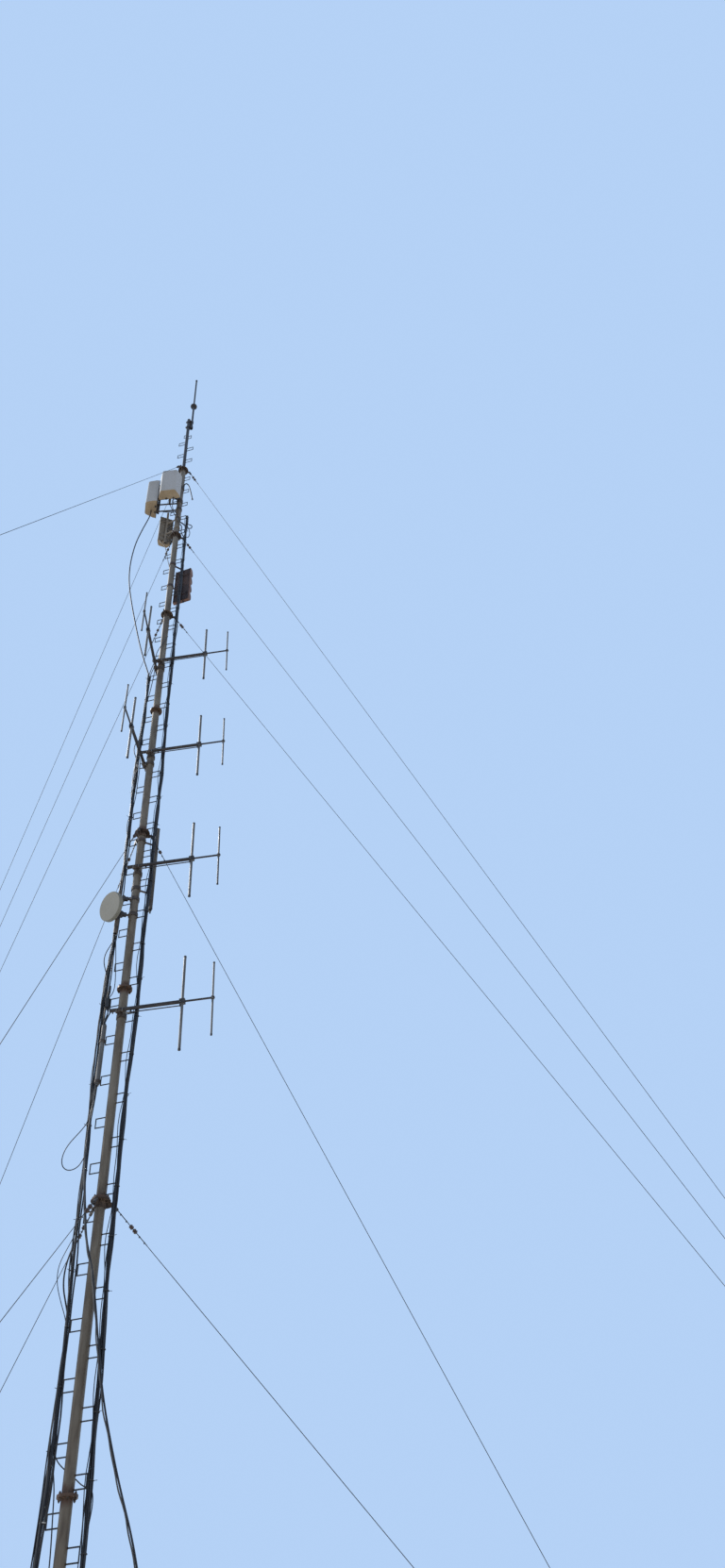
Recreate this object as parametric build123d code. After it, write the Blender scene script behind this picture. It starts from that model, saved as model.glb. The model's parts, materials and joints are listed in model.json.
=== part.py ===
from build123d import *
import os
from math import sin, cos, tan, radians, degrees, atan2, pi

# Guyed tubular radio mast, in millimetres.
# The origin is the centre of the lower face of the base flange, and +Z is up.
# An azimuth is in degrees, clockwise from +Y as seen from above, so 90 is +X.

# Mast pipe
pole_od = 120
pole_wall = 5
base_length = 1500
section_length = 3000
section_count = 8
flange_od = 210
flange_thick = 14
base_flange_od = 400
base_flange_thick = 20
base_bolt_circle = 320
base_bolt_hole = 26
base_bolt_count = 8
rib_count = 8
rib_thick = 10
rib_height = 160
rib_reach = 62
seat_gap = 0.3

# Top pole, its extension and the whip
top_pole_od = 76
top_pole_wall = 4
top_pole_length = 2700
top_flange_thick = 14
extension_od = 50
extension_wall = 4
extension_start = 2180
extension_length = 1290
extension_azimuth = 100
extension_clamps = (2270, 2560)
clamp_height = 90
clamp_thick = 11
hub_od = 165
hub_height = 60
whip_od = 42
whip_tip_od = 52
whip_tip_length = 110
whip_length = 1670

# Climbing steps
step_bar = 14
step_gap = 140
step_pitch = 600
step_reach = 196
right_step_azimuth = 116.5
left_step_azimuth = 296.5
right_step_first = 183
left_step_first = 483
right_top_steps = [(500, 196), (1100, 196), (1760, 120)]
left_top_steps = [(850, 196), (1480, 196), (1850, 85)]

# Guy collars
collar_wall = 8
collar_height = 95
collar_plate_od = 236
collar_plate_thick = 12
lug_thick = 12
lug_reach = 172
lug_height = 76
lug_hole = 22
lug_hole_radius = 150
lug_hole_drop = 30
collar_joints = [2, 4, 6, 7, 8]

# Guys, from the lug of a collar to a ground anchor
guy_joints = {"right": [2, 4, 6, 7, 8], "far": [2, 4, 6, 7, 8], "near": [2, 4, 8]}
inner_joints = [2, 4]
guy_od = 8
insulator_od = 54
insulator_length = 54

# How far down each guy its insulators sit, in the order of its side's joints
insulator_marks = {
    "right": [(340, 405), (340,), (270, 330), (270, 370), (230, 330)],
    "far": [(230, 340), (340, 610), (230, 340), (230, 340), (230, 340)],
    "near": [(230, 340), (230, 340), (230, 340)],
}
fork_cheek = 8
fork_wide = 28
fork_length = 58
fork_block = 26
fork_play = 1
pin_play = 0.3
turnbuckle_length = 380
turnbuckle_od = 34
turnbuckle_fork = 125
anchor_rod_od = 24
anchor_rod_start = 30
anchor_rod_length = 620
anchor_lean = 0.6
anchor_plate_thick = 14
anchor_plate_deep = 84
anchor_hole = 20
anchor_hole_pitch = 70
anchor_cap_od = 420
anchor_cap_height = 90
inner_anchors = {"right": (7140, 670), "far": (-3940, 6840), "near": (-2620, -6700)}
outer_anchors = {"right": (12130, 300), "far": (-6400, 10160), "near": (-5380, -10180)}

# Upright antennas with two elements
boom_od = 52
boom_wall = 3
thin_boom_od = 28
boom_tail = 132
boom_seat = 12
driven_reach = 856
driven_od = 38
driven_wall = 3
driven_length = 1500
director_reach = 1272
director_od = 27
director_wall = 2
director_length = 1170
hub_block = 78
hub_block_height = 66
feed_tube_od = 16
feed_tube_drop = 62
feed_tube_start = 130
boom_shelf_length = 120
boom_shelf_thick = 8
boom_strap_wide = 36
boom_strap_thick = 6
boom_web_thick = 14

# Azimuth of each boom, and its height above the base length
right_booms = [(109.6, 8600), (109.6, 11200), (109.6, 13820), (109.6, 16380)]
left_booms = [(198.5, 13606), (194, 16280)]

# Clamp rings round the mast
mast_clamp_height = 60
mast_clamp_wall = 10
mast_clamp_clear = 3

# Panel antennas: width, height, depth, then x and y of the middle of the lower
# back edge, its height above the base length, and the azimuth that the front faces
panel_1 = (480, 940, 220, -235, -158, 22260, 197)
panel_2 = (440, 960, 250, -500, 120, 22180, 270)
panel_3 = (300, 970, 160, -235, 226, 21080, 350)
panel_4 = (350, 1140, 110, 236, 118, 18720, 30)

# Each panel with its arms' heights in shares of its own, the ribs on its back
# plate, and the lobes of its front
panels = [
    ("panel_1", panel_1, (0.26, 0.9), 0, 0),
    ("panel_2", panel_2, (-0.08, 0.22, 0.9), 0, 0),
    ("panel_3", panel_3, (0.22, 0.72), 7, 0),
    ("panel_4", panel_4, (0.2, 0.96), 3, 4),
]
panel_side_share = 0.25
panel_front_share = 0.68
panel_front_radius = 50
panel_side_radius = 35
panel_rim = 12
panel_lobe_depth = 50
panel_plate_thick = 8
panel_rib_thick = 10
panel_rib_deep = 12
panel_pipe_od = 48
panel_pipe_wall = 3
panel_pipe_over = 150
panel_arm_od = 34
panel_rail_wide = 60
panel_rail_thick = 22
panel_clip_height = 50

# Round dish with a flat cover, tilted down, on its own pipe
dish_od = 452
dish_depth = 95
dish_drum = 60
dish_hub = 18
dish_arm_od = 50
dish_facing = 233
dish_tilt = 12
dish_reach = 165
dish_height = 10392
dish_pipe_od = 60
dish_pipe_wall = 4
dish_pipe_spot = (-222, -14)
dish_pipe_drop = 452
dish_pipe_rise = 338
dish_arm_rises = (-86, 214)

# Slim upright antenna on two stand off arms
slim_spot = (238, 75)
slim_wide = 80
slim_deep = 50
slim_low = 10502
slim_length = 1663
slim_arm_rises = (320, 1304)
slim_arm_od = 30
slim_plate = 8

# Power divider and boxes on the feeder cables, seated on numbered steps
divider_od = 66
divider_low = 7580
divider_length = 880
divider_out = 8
divider_steps = (12, 13)
splitter_wide = 80
splitter_deep = 56
splitter_height = 150
splitter_step = 14
junction_wide = 60
junction_deep = 50
junction_height = 100
junction_step = 36
junction_drop = 53
socket_od = 22
socket_length = 33

# Cables and the ducts that they run down into
feeder_od = 44
panel_cable_od = 25
crossing_cable_od = 20
slack_cable_od = 12
duct_od = 110
duct_wall = 5
duct_height = 220

os.makedirs("parts", exist_ok=True)

pole_radius = pole_od / 2
top_height = base_length + section_count * section_length
boom_offset = pole_radius + boom_seat + boom_od / 2


def heading(azimuth):
    """Level unit vector at an azimuth."""
    return Vector(sin(radians(azimuth)), cos(radians(azimuth)), 0)


def spot(azimuth, radius, height):
    """Point at a radius from the mast's axis."""
    return heading(azimuth) * radius + Vector(0, 0, height)


def rod(start, end, diameter):
    """Round bar from one point to another."""
    run = end - start
    low = (Align.CENTER, Align.CENTER, Align.MIN)
    return Plane(origin=start, z_dir=run) * Cylinder(diameter / 2, run.length, align=low)


def pipe(start, end, diameter, wall):
    """Round tube from one point to another, open at both ends."""
    run = end - start
    low = (Align.CENTER, Align.CENTER, Align.MIN)
    body = Cylinder(diameter / 2, run.length, align=low)
    body -= Cylinder(diameter / 2 - wall, run.length, align=low)
    return Plane(origin=start, z_dir=run) * body


def turned_box(centre, along, azimuth, across, height):
    """Box whose length lies along an azimuth."""
    return Location(centre, (0, 0, -azimuth)) * Box(across, along, height)


def save(name, solids):
    """Write one node of one or more separate solids."""
    parts = []
    for item in solids:
        parts.extend(item.solids())
    shape = parts[0] if len(parts) == 1 else Compound(parts)
    export_step(shape, f"parts/{name}.step")


def joint_height(number):
    """Height of a flange joint, counted from the top of the base length."""
    return base_length + number * section_length


# Mast sections
def flanged_pipe(low, high, low_flange, low_thick):
    """Pipe with a welded flange at each end."""
    bore = pole_radius - pole_wall
    outline = Polyline(
        (bore, 0, low),
        (low_flange / 2, 0, low),
        (low_flange / 2, 0, low + low_thick),
        (pole_radius, 0, low + low_thick),
        (pole_radius, 0, high - flange_thick),
        (flange_od / 2, 0, high - flange_thick),
        (flange_od / 2, 0, high),
        (bore, 0, high),
        close=True,
    )
    return revolve(make_face(outline), Axis.Z)


def base_section():
    """Short bottom length with its bolted base flange and ribs."""
    body = flanged_pipe(0, base_length, base_flange_od, base_flange_thick)
    rib_outline = Polyline(
        (pole_radius - 1, 0, base_flange_thick - 1),
        (pole_radius + rib_reach, 0, base_flange_thick - 1),
        (pole_radius + rib_reach, 0, base_flange_thick + 20),
        (pole_radius + 14, 0, base_flange_thick + rib_height),
        (pole_radius - 1, 0, base_flange_thick + rib_height),
        close=True,
    )
    rib = extrude(make_face(rib_outline), rib_thick / 2, both=True)
    for number in range(rib_count):
        body += Rot(0, 0, (number + 0.5) * 360 / rib_count) * rib
    for number in range(base_bolt_count):
        centre = spot(number * 360 / base_bolt_count, base_bolt_circle / 2, base_flange_thick / 2)
        body -= Pos(centre) * Cylinder(base_bolt_hole / 2, base_flange_thick * 2)
    return body


# Climbing steps
def staple(azimuth, upper, inner_radius, reach):
    """Bar bent to a U that stands out from the mast."""
    half = step_bar / 2
    tip = reach - half
    path = Polyline(
        spot(azimuth, inner_radius, upper - half),
        spot(azimuth, tip, upper - half),
        spot(azimuth, tip, upper - step_gap + half),
        spot(azimuth, inner_radius, upper - step_gap + half),
    )
    start = Plane(origin=path @ 0, z_dir=heading(azimuth))
    section = start * RegularPolygon(half, 8, major_radius=False)
    return sweep(section, path=path, transition=Transition.RIGHT)


def step_row(azimuth, first, top_steps):
    """All the steps of one side, on the mast and on the top pole."""
    steps = []
    per_section = section_length // step_pitch
    for section in range(section_count):
        for number in range(per_section):
            upper = joint_height(section) + first + number * step_pitch
            steps.append(staple(azimuth, upper, pole_radius + seat_gap, step_reach))
    for rise, reach in top_steps:
        steps.append(staple(azimuth, top_height + rise, top_pole_od / 2 + seat_gap, reach))
    return steps


# Guy collars and guys
def anchor_of(side, joint):
    """Ground anchor that the lug of one side and joint points at."""
    return inner_anchors[side] if joint in inner_joints else outer_anchors[side]


def azimuth_of(place):
    """Azimuth of a level place as seen from the mast."""
    return degrees(atan2(place[0], place[1]))


def lug_hole_height(height):
    """Height of the holes in the lugs of the collar under a joint."""
    return height - flange_thick - collar_plate_thick - lug_hole_drop


def guy_collar(joint):
    """Sleeve with a plate under a flange joint, and a drilled lug for each side."""
    height = joint_height(joint)
    inner = pole_radius + seat_gap
    outer = inner + collar_wall
    top = height - flange_thick
    under = top - collar_plate_thick
    outline = Polyline(
        (inner, 0, top - collar_height),
        (outer, 0, top - collar_height),
        (outer, 0, under),
        (collar_plate_od / 2, 0, under),
        (collar_plate_od / 2, 0, top),
        (inner, 0, top),
        close=True,
    )
    body = revolve(make_face(outline), Axis.Z)
    lug_outline = Polyline(
        (outer - 1, 0, under + 1),
        (lug_reach - 18, 0, under + 1),
        (lug_reach, 0, under - 16),
        (lug_reach, 0, under - 44),
        (outer + 12, 0, under - lug_height),
        (outer - 1, 0, under - lug_height),
        close=True,
    )
    lug = extrude(make_face(lug_outline), lug_thick / 2, both=True)
    hole = Pos(lug_hole_radius, 0, lug_hole_height(height))
    lug -= hole * Rot(90, 0, 0) * Cylinder(lug_hole / 2, lug_thick * 3)
    for side in guy_joints:
        body += Rot(0, 0, 90 - azimuth_of(anchor_of(side, joint))) * lug
    return body


def fork(point, along, plate, pin, length):
    """Two cheeks and a pin that straddle a drilled plate, with a block past its edge."""
    sideways = along.cross(Vector(0, 0, 1)).normalized()
    place = Plane(origin=point, x_dir=sideways, z_dir=along)
    low = (Align.CENTER, Align.CENTER, Align.MIN)
    shift = plate / 2 + fork_play + fork_cheek / 2
    outer = shift + fork_cheek / 2
    body = Pos(0, 0, length) * Box(outer * 2, fork_wide, fork_block, align=low)
    for side in (-shift, shift):
        body += Pos(side, 0, 0) * Box(fork_cheek, fork_wide, length + 1, align=low)
        body += Pos(side, 0, 0) * Rot(0, 90, 0) * Cylinder(fork_wide / 2, fork_cheek)
    body += Rot(0, 90, 0) * Cylinder(pin / 2 - pin_play, outer * 2 + 12)
    return place * body


def bead(centre, along):
    """Waisted strain insulator with the wire ends caught in it."""
    half = insulator_length / 2
    radius = insulator_od / 2
    outline = Polyline(
        (0, 0, -half),
        (radius * 0.55, 0, -half),
        (radius, 0, -half * 0.45),
        (radius * 0.72, 0, 0),
        (radius, 0, half * 0.45),
        (radius * 0.55, 0, half),
        (0, 0, half),
        close=True,
    )
    return Plane(origin=centre, z_dir=along) * revolve(make_face(outline), Axis.Z)


def turnbuckle(eye, along):
    """Open frame tensioner with a screw through it and a fork at the anchor's plate."""
    back = along * -1
    body = fork(eye, back, anchor_plate_thick, anchor_hole, turnbuckle_fork)
    sideways = along.cross(Vector(0, 0, 1)).normalized()
    low = (Align.CENTER, Align.CENTER, Align.MIN)
    screw = Cylinder(turnbuckle_od * 0.22, turnbuckle_length + fork_block, align=low)
    frame = Cylinder(turnbuckle_od / 2, turnbuckle_length, align=low)
    slot_length = turnbuckle_length - 100
    frame -= Pos(0, 0, 50) * Box(turnbuckle_od * 2, turnbuckle_od * 0.5, slot_length, align=low)
    start = eye + back * (turnbuckle_fork + fork_block - 1)
    return body + Plane(origin=start, x_dir=sideways, z_dir=back) * (screw + Pos(0, 0, fork_block) * frame)


def anchor_slot(side, joint):
    """Place of a guy among the holes of its anchor's plate."""
    anchor = anchor_of(side, joint)
    shared = [other for other in guy_joints[side] if anchor_of(side, other) == anchor]
    return shared.index(joint)


def anchor_foot(anchor):
    """Foot of an anchor's rod, and the way that it leans to the mast."""
    azimuth = azimuth_of(anchor)
    lean = heading(azimuth) * -anchor_lean + Vector(0, 0, (1 - anchor_lean ** 2) ** 0.5)
    return Vector(anchor[0], anchor[1], 0), lean, azimuth


def anchor_eye(anchor, slot):
    """Centre of one hole in an anchor's plate."""
    foot, lean, azimuth = anchor_foot(anchor)
    reach = anchor_rod_length + anchor_plate_deep / 2
    return foot + lean * reach + Vector(0, 0, anchor_hole_pitch * slot)


def guy(side, joint):
    """Wire, insulators, upper fork and tensioner of one guy."""
    anchor = anchor_of(side, joint)
    top = spot(azimuth_of(anchor), lug_hole_radius, lug_hole_height(joint_height(joint)))
    eye = anchor_eye(anchor, anchor_slot(side, joint))
    along = (eye - top).normalized()
    shackle = fork(top, along, lug_thick, lug_hole, fork_length)
    begin = top + along * (fork_length + fork_block)
    end = eye - along * (turnbuckle_fork + fork_block * 2 - 1 + turnbuckle_length)
    wires = []
    beads = []
    for mark in insulator_marks[side][guy_joints[side].index(joint)]:
        centre = top + along * mark
        half = along * (insulator_length / 2)
        beads.append(bead(centre, along))
        wires.append(rod(begin, centre - half, guy_od))
        begin = centre + half
    wires.append(rod(begin, end, guy_od))
    return wires, beads, shackle, turnbuckle(eye, along)


def anchor_footing(anchor):
    """Small round footing with the leaning hole that the anchor's rod stands in."""
    foot, lean, azimuth = anchor_foot(anchor)
    low = (Align.CENTER, Align.CENTER, Align.MIN)
    body = Pos(foot) * Cylinder(anchor_cap_od / 2, anchor_cap_height, align=low)
    start = foot + lean * (anchor_rod_start - seat_gap)
    return body - rod(start, foot + lean * anchor_rod_length, anchor_rod_od + seat_gap * 2)


def ground_anchor(anchor, eyes):
    """Leaning rod with a drilled plate for the guys."""
    foot, lean, azimuth = anchor_foot(anchor)
    body = rod(foot + lean * anchor_rod_start, foot + lean * (anchor_rod_length + 6), anchor_rod_od)
    height = anchor_hole_pitch * (eyes - 1) + anchor_plate_deep
    reach = anchor_rod_length + anchor_plate_deep / 2
    centre = foot + lean * reach + Vector(0, 0, anchor_hole_pitch * (eyes - 1) / 2)
    body += turned_box(centre, anchor_plate_deep, azimuth, anchor_plate_thick, height)
    for slot in range(eyes):
        hole = Location(anchor_eye(anchor, slot), (0, 0, -azimuth)) * Rot(0, 90, 0)
        body -= hole * Cylinder(anchor_hole / 2, anchor_plate_thick * 3)
    return body


def anchor_list():
    """Each anchor with the number of guys that it holds."""
    listed = []
    for side, joints in guy_joints.items():
        inner = sum(1 for joint in joints if joint in inner_joints)
        listed.append((inner_anchors[side], inner))
        listed.append((outer_anchors[side], len(joints) - inner))
    return listed


# Top of the mast
def top_pole():
    """Thinner pole with the flange that closes the mast."""
    radius = top_pole_od / 2
    outline = Polyline(
        (radius - top_pole_wall, 0, top_height),
        (flange_od / 2, 0, top_height),
        (flange_od / 2, 0, top_height + top_flange_thick),
        (radius, 0, top_height + top_flange_thick),
        (radius, 0, top_height + top_pole_length),
        (radius - top_pole_wall, 0, top_height + top_pole_length),
        close=True,
    )
    return revolve(make_face(outline), Axis.Z)


def extension_axis():
    """Level distance from the mast's axis to the extension's axis."""
    return top_pole_od / 2 + extension_od / 2 + 2 * clamp_thick


def top_extension():
    """Thin pipe beside the top pole, with the two clamps that hold it."""
    centre = heading(extension_azimuth) * extension_axis()
    low = centre + Vector(0, 0, top_height + extension_start)
    body = rod(low, low + Vector(0, 0, extension_length), extension_od)
    for rise in extension_clamps:
        middle = Vector(0, 0, top_height + rise)
        ring = Cylinder(top_pole_od / 2 + clamp_thick, clamp_height)
        body += Pos(middle) * ring
        body += Pos(centre + middle) * Cylinder(extension_od / 2 + clamp_thick, clamp_height)
        body += turned_box(centre * 0.55 + middle, extension_axis() * 0.6, extension_azimuth, 60, clamp_height)
    body -= Pos(0, 0, top_height + top_pole_length / 2) * Cylinder(top_pole_od / 2 + seat_gap, top_pole_length * 2)
    inside = extension_od / 2 - extension_wall
    bore = rod(low - Vector(0, 0, 5), low + Vector(0, 0, extension_length + 5), inside * 2)
    return body - bore


def whip_antenna():
    """Round hub on the extension with the tapered whip above it."""
    centre = heading(extension_azimuth) * extension_axis()
    start = top_height + extension_start + extension_length
    radius = whip_od / 2
    tip = whip_tip_od / 2
    outline = Polyline(
        (0, 0, 0),
        (hub_od / 2 - 14, 0, 0),
        (hub_od / 2, 0, 14),
        (hub_od / 2, 0, hub_height - 20),
        (radius + 8, 0, hub_height),
        (radius + 8, 0, hub_height + 60),
        (radius, 0, hub_height + 60),
        (radius, 0, whip_length - whip_tip_length),
        (tip, 0, whip_length - whip_tip_length + 20),
        (tip, 0, whip_length - 16),
        (tip * 0.4, 0, whip_length),
        (0, 0, whip_length),
        close=True,
    )
    return Pos(centre + Vector(0, 0, start)) * revolve(make_face(outline), Axis.Z)


# Upright antennas
def boom_place(azimuth, height):
    """Plane with x along the boom and z up, with its origin beside the mast."""
    along = heading(azimuth)
    across = Vector(0, 0, 1).cross(along)
    origin = across * -boom_offset + Vector(0, 0, height)
    return Plane(origin=origin, x_dir=along, z_dir=(0, 0, 1))


def antenna_boom(azimuth, height):
    """Boom, thin end, junction block and the feed tube under it."""
    along = Vector(1, 0, 0)
    body = pipe(along * -boom_tail, along * (driven_reach - hub_block / 2 + 4), boom_od, boom_wall)
    body += Pos(driven_reach, 0, 0) * Box(hub_block, hub_block * 0.8, hub_block_height)
    body += rod(along * driven_reach, along * (director_reach + 20), thin_boom_od)
    low = Vector(0, 0, -feed_tube_drop)
    body += rod(along * feed_tube_start + low, along * (driven_reach - 8) + low, feed_tube_od)
    hang = (Align.CENTER, Align.CENTER, Align.MAX)
    block_post = Box(22, 24, feed_tube_drop - hub_block_height / 2 + 12, align=hang)
    body += Pos(driven_reach - 24, 0, 4 - hub_block_height / 2) * block_post
    boom_post = Box(18, 20, feed_tube_drop - boom_od / 2 + 10, align=hang)
    body += Pos(feed_tube_start + 22, 0, 2 - boom_od / 2) * boom_post
    body -= Pos(driven_reach, 0, 0) * Cylinder(driven_od / 2 + seat_gap, hub_block_height * 3)
    body += Pos(director_reach, 0, 0) * Cylinder(director_od / 2 + 5, thin_boom_od + 8)
    body -= Pos(director_reach, 0, 0) * Cylinder(director_od / 2 + seat_gap, thin_boom_od * 3)
    return boom_place(azimuth, height) * body


def antenna_elements(azimuth, height):
    """Driven element and director as two upright tubes."""
    place = boom_place(azimuth, height)
    tubes = []
    for reach, length, diameter, wall in (
        (driven_reach, driven_length, driven_od, driven_wall),
        (director_reach, director_length, director_od, director_wall),
    ):
        half = Vector(0, 0, length / 2)
        tubes.append(place * pipe(Vector(reach, 0, 0) - half, Vector(reach, 0, 0) + half, diameter, wall))
    return tubes


def boom_clamp(azimuth, height):
    """Band round the mast with a web and a shelf that carries a boom in its strap."""
    shelf_low = height - boom_od / 2 - boom_shelf_thick
    band_centre = clear_height(shelf_low - mast_clamp_height / 2)
    inner = boom_od / 2 + seat_gap
    saddle = Pos(0, 0, -boom_od / 2 - boom_shelf_thick / 2)
    saddle *= Box(boom_shelf_length, boom_od + 10, boom_shelf_thick)
    saddle += Rot(0, 90, 0) * Cylinder(inner + boom_strap_thick, boom_strap_wide)
    web_low = min(band_centre - mast_clamp_height / 2, shelf_low)
    web_length = boom_offset - pole_radius - mast_clamp_wall / 2
    web = Pos(0, boom_offset - pole_radius - mast_clamp_wall / 2, web_low - height)
    web *= Box(boom_web_thick, web_length, height - web_low, align=(Align.CENTER, Align.MAX, Align.MIN))
    saddle += web
    saddle -= Rot(0, 90, 0) * Cylinder(inner, boom_shelf_length * 2)
    return mast_band(band_centre) + boom_place(azimuth, height) * saddle


# Clamps round the mast pass between the legs of the climbing steps
def clear_height(wanted):
    """Height nearest the wanted one at which a clamp ring misses the steps."""
    lowest = base_length + right_step_first - step_gap / 2
    spacing = step_pitch / 4
    number = round((wanted - lowest) / spacing)
    inside_step = step_gap / 2 - step_bar
    between_steps = (step_pitch / 2 - step_gap) / 2
    free = inside_step if number % 2 == 0 else between_steps
    slack = free - mast_clamp_height / 2 - mast_clamp_clear
    centre = lowest + spacing * number
    return min(max(wanted, centre - slack), centre + slack)


def mast_band(height):
    """Clamp ring round the mast."""
    inner = pole_radius + seat_gap
    ring = Cylinder(inner + mast_clamp_wall, mast_clamp_height) - Cylinder(inner, mast_clamp_height * 2)
    return Pos(0, 0, height) * ring


def stand_off(target_x, target_y, height, diameter, stop):
    """Level arm with its clamp ring, from the mast to a pipe beside it."""
    centre = Vector(target_x, target_y, 0)
    direction = centre.normalized()
    level = Vector(0, 0, clear_height(height))
    start = direction * (pole_radius + mast_clamp_wall / 2) + level
    end = direction * (centre.length - stop) + level
    return mast_band(level.Z) + rod(start, end, diameter)


# Panel antennas
def panel_place(panel):
    """Plane at the middle of a panel's lower back edge, with y out of its front."""
    x, y, low, facing = panel[3:]
    return Plane(origin=(x, y, base_length + low), x_dir=heading(facing + 90), z_dir=(0, 0, 1))


def panel_radome(panel):
    """Moulded housing with a flat back, slanted sides and a rounded flat front."""
    width, height, depth = panel[:3]
    side = depth * panel_side_share
    half = width / 2
    front = half * panel_front_share
    outline = Polyline(
        (-half, 0), (half, 0), (half, side), (front, depth), (-front, depth), (-half, side),
        close=True,
    )
    body = extrude(make_face(outline), height)
    uprights = body.edges().filter_by(Axis.Z).group_by(Axis.Y)
    body = fillet(uprights[-1], panel_front_radius)
    uprights = body.edges().filter_by(Axis.Z)
    sides = [edge for edge in uprights if abs(edge.center().Y - side) < 1]
    body = fillet(sides, panel_side_radius)
    faces = body.faces().sort_by(Axis.Z)
    ends = faces[0].edges() + faces[-1].edges()
    body = chamfer([edge for edge in ends if edge.center().Y > 1], panel_rim)
    return panel_place(panel) * body


def lobed_radome(panel, lobes):
    """Housing whose front bulges in a row of level lobes, one above the other."""
    width, height, depth = panel[:3]
    base = depth - panel_lobe_depth
    pitch = height / lobes
    outline = [
        Line((base, height), (0, height)),
        Line((0, height), (0, 0)),
        Line((0, 0), (base, 0)),
    ]
    for number in range(lobes):
        low = number * pitch
        outline.append(ThreePointArc((base, low), (depth, low + pitch / 2), (base, low + pitch)))
    section = Plane(origin=(-width / 2, 0, 0), x_dir=(0, 1, 0), z_dir=(1, 0, 0))
    body = extrude(section * make_face(outline), width)
    return panel_place(panel) * body


def panel_frame(panel, arm_shares, ribs):
    """Rails or ribbed plate on a panel's back, the upright pipe and its arms to the mast."""
    width, height = panel[:2]
    place = panel_place(panel)
    pipe_back = panel_rail_thick + panel_pipe_od / 2
    body = Pos(0, -pipe_back, height / 2) * Cylinder(panel_pipe_od / 2, height + panel_pipe_over * 2)
    for share in (0.2, 0.8):
        body += Pos(0, -panel_rail_thick / 2, height * share) * Box(width * 0.84, panel_rail_thick, panel_rail_wide)
        clip = Box(panel_pipe_od + 24, panel_rail_thick + 20, panel_clip_height)
        body += Pos(0, -panel_rail_thick - 8, height * share) * clip
    if ribs:
        plate_height = height - 2 * panel_rim
        body += Pos(0, -panel_plate_thick / 2, height / 2) * Box(width - 2 * panel_rim, panel_plate_thick, plate_height)
        spread = (width - 2 * panel_rim - panel_rib_thick) / (ribs - 1)
        rib = Box(panel_rib_thick, panel_rib_deep, plate_height)
        for number in range(ribs):
            shift = (number - (ribs - 1) / 2) * spread
            body += Pos(shift, -panel_plate_thick - panel_rib_deep / 2, height / 2) * rib
    body = place * body
    centre = place.origin - place.y_dir * pipe_back
    for share in arm_shares:
        body += stand_off(centre.X, centre.Y, place.origin.Z + height * share, panel_arm_od, 0)
    inside = panel_pipe_od / 2 - panel_pipe_wall
    bore = Pos(0, -pipe_back, height / 2) * Cylinder(inside, height * 2)
    return body - place * bore


# Dish
def dish():
    """Round dish closed by its flat cover, turned on its own axis."""
    radius = dish_od / 2
    outline = Polyline(
        (0, 0, 0),
        (radius - 8, 0, 0),
        (radius, 0, -8),
        (radius, 0, -dish_drum),
        (radius - 22, 0, -dish_drum),
        (90, 0, -dish_depth),
        (60, 0, -dish_depth),
        (60, 0, -dish_depth - dish_hub),
        (0, 0, -dish_depth - dish_hub),
        close=True,
    )
    return dish_place() * revolve(make_face(outline), Axis.Z)


def dish_place():
    """Plane on the cover of the dish, with z out of its front."""
    x, y = dish_pipe_spot
    tilt = radians(dish_tilt)
    facing = heading(dish_facing) * cos(tilt) - Vector(0, 0, sin(tilt))
    origin = Vector(x, y, base_length + dish_height) + facing * dish_reach
    return Plane(origin=origin, x_dir=heading(dish_facing + 90), z_dir=facing)


def dish_mount():
    """Upright pipe, its arms to the mast and the bracket behind the dish."""
    x, y = dish_pipe_spot
    pipe_middle = Vector(x, y, base_length + dish_height)
    low = pipe_middle - Vector(0, 0, dish_pipe_drop)
    high = pipe_middle + Vector(0, 0, dish_pipe_rise)
    body = rod(low, high, dish_pipe_od)
    for rise in dish_arm_rises:
        body += stand_off(x, y, pipe_middle.Z + rise, panel_arm_od, 0)
    place = dish_place()
    back = place.origin - place.z_dir * (dish_depth + dish_hub)
    body += rod(back, pipe_middle, dish_arm_od)
    body += Pos(pipe_middle) * Cylinder(dish_pipe_od / 2 + 9, 110)
    inside = dish_pipe_od / 2 - dish_pipe_wall
    return body - rod(low - Vector(0, 0, 10), high + Vector(0, 0, 10), inside * 2)


# Slim antenna
def slim_antenna():
    """Upright housing with rounded edges and a mounting channel on its back."""
    x, y = slim_spot
    body = Box(slim_deep, slim_wide, slim_length)
    body = fillet(body.edges().filter_by(Axis.Z), slim_deep * 0.3)
    turn = 90 - azimuth_of(slim_spot)
    return Location((x, y, base_length + slim_low + slim_length / 2), (0, 0, turn)) * body


def slim_brackets():
    """Two arms from the mast with a plate against the slim antenna."""
    x, y = slim_spot
    arms = []
    for rise in slim_arm_rises:
        height = base_length + slim_low + rise
        level = clear_height(height)
        stop = slim_deep / 2 + slim_plate
        arm = stand_off(x, y, height, slim_arm_od, stop)
        direction = Vector(x, y, 0).normalized()
        centre = Vector(x, y, level) - direction * (slim_deep / 2 + slim_plate / 2 + seat_gap)
        arm += turned_box(centre, slim_plate, azimuth_of(slim_spot), slim_wide * 0.8, 90)
        arms.append(arm)
    return arms


# Boxes on the feeder cables
def step_tip(azimuth, out):
    """Level point just outside the eight sided tips of the climbing steps."""
    half = step_bar / 2
    corner = half / cos(pi / 8) - half
    return heading(azimuth) * (step_reach + corner + seat_gap + out)


def step_middle(first, number):
    """Middle of the tip of one of a row's steps, counted up the mast from zero."""
    return Vector(0, 0, base_length + first + number * step_pitch - step_gap / 2)


def divider_axis():
    """Level place of the power divider, outside the tips of the left steps."""
    return step_tip(left_step_azimuth, divider_out + divider_od / 2)


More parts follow.
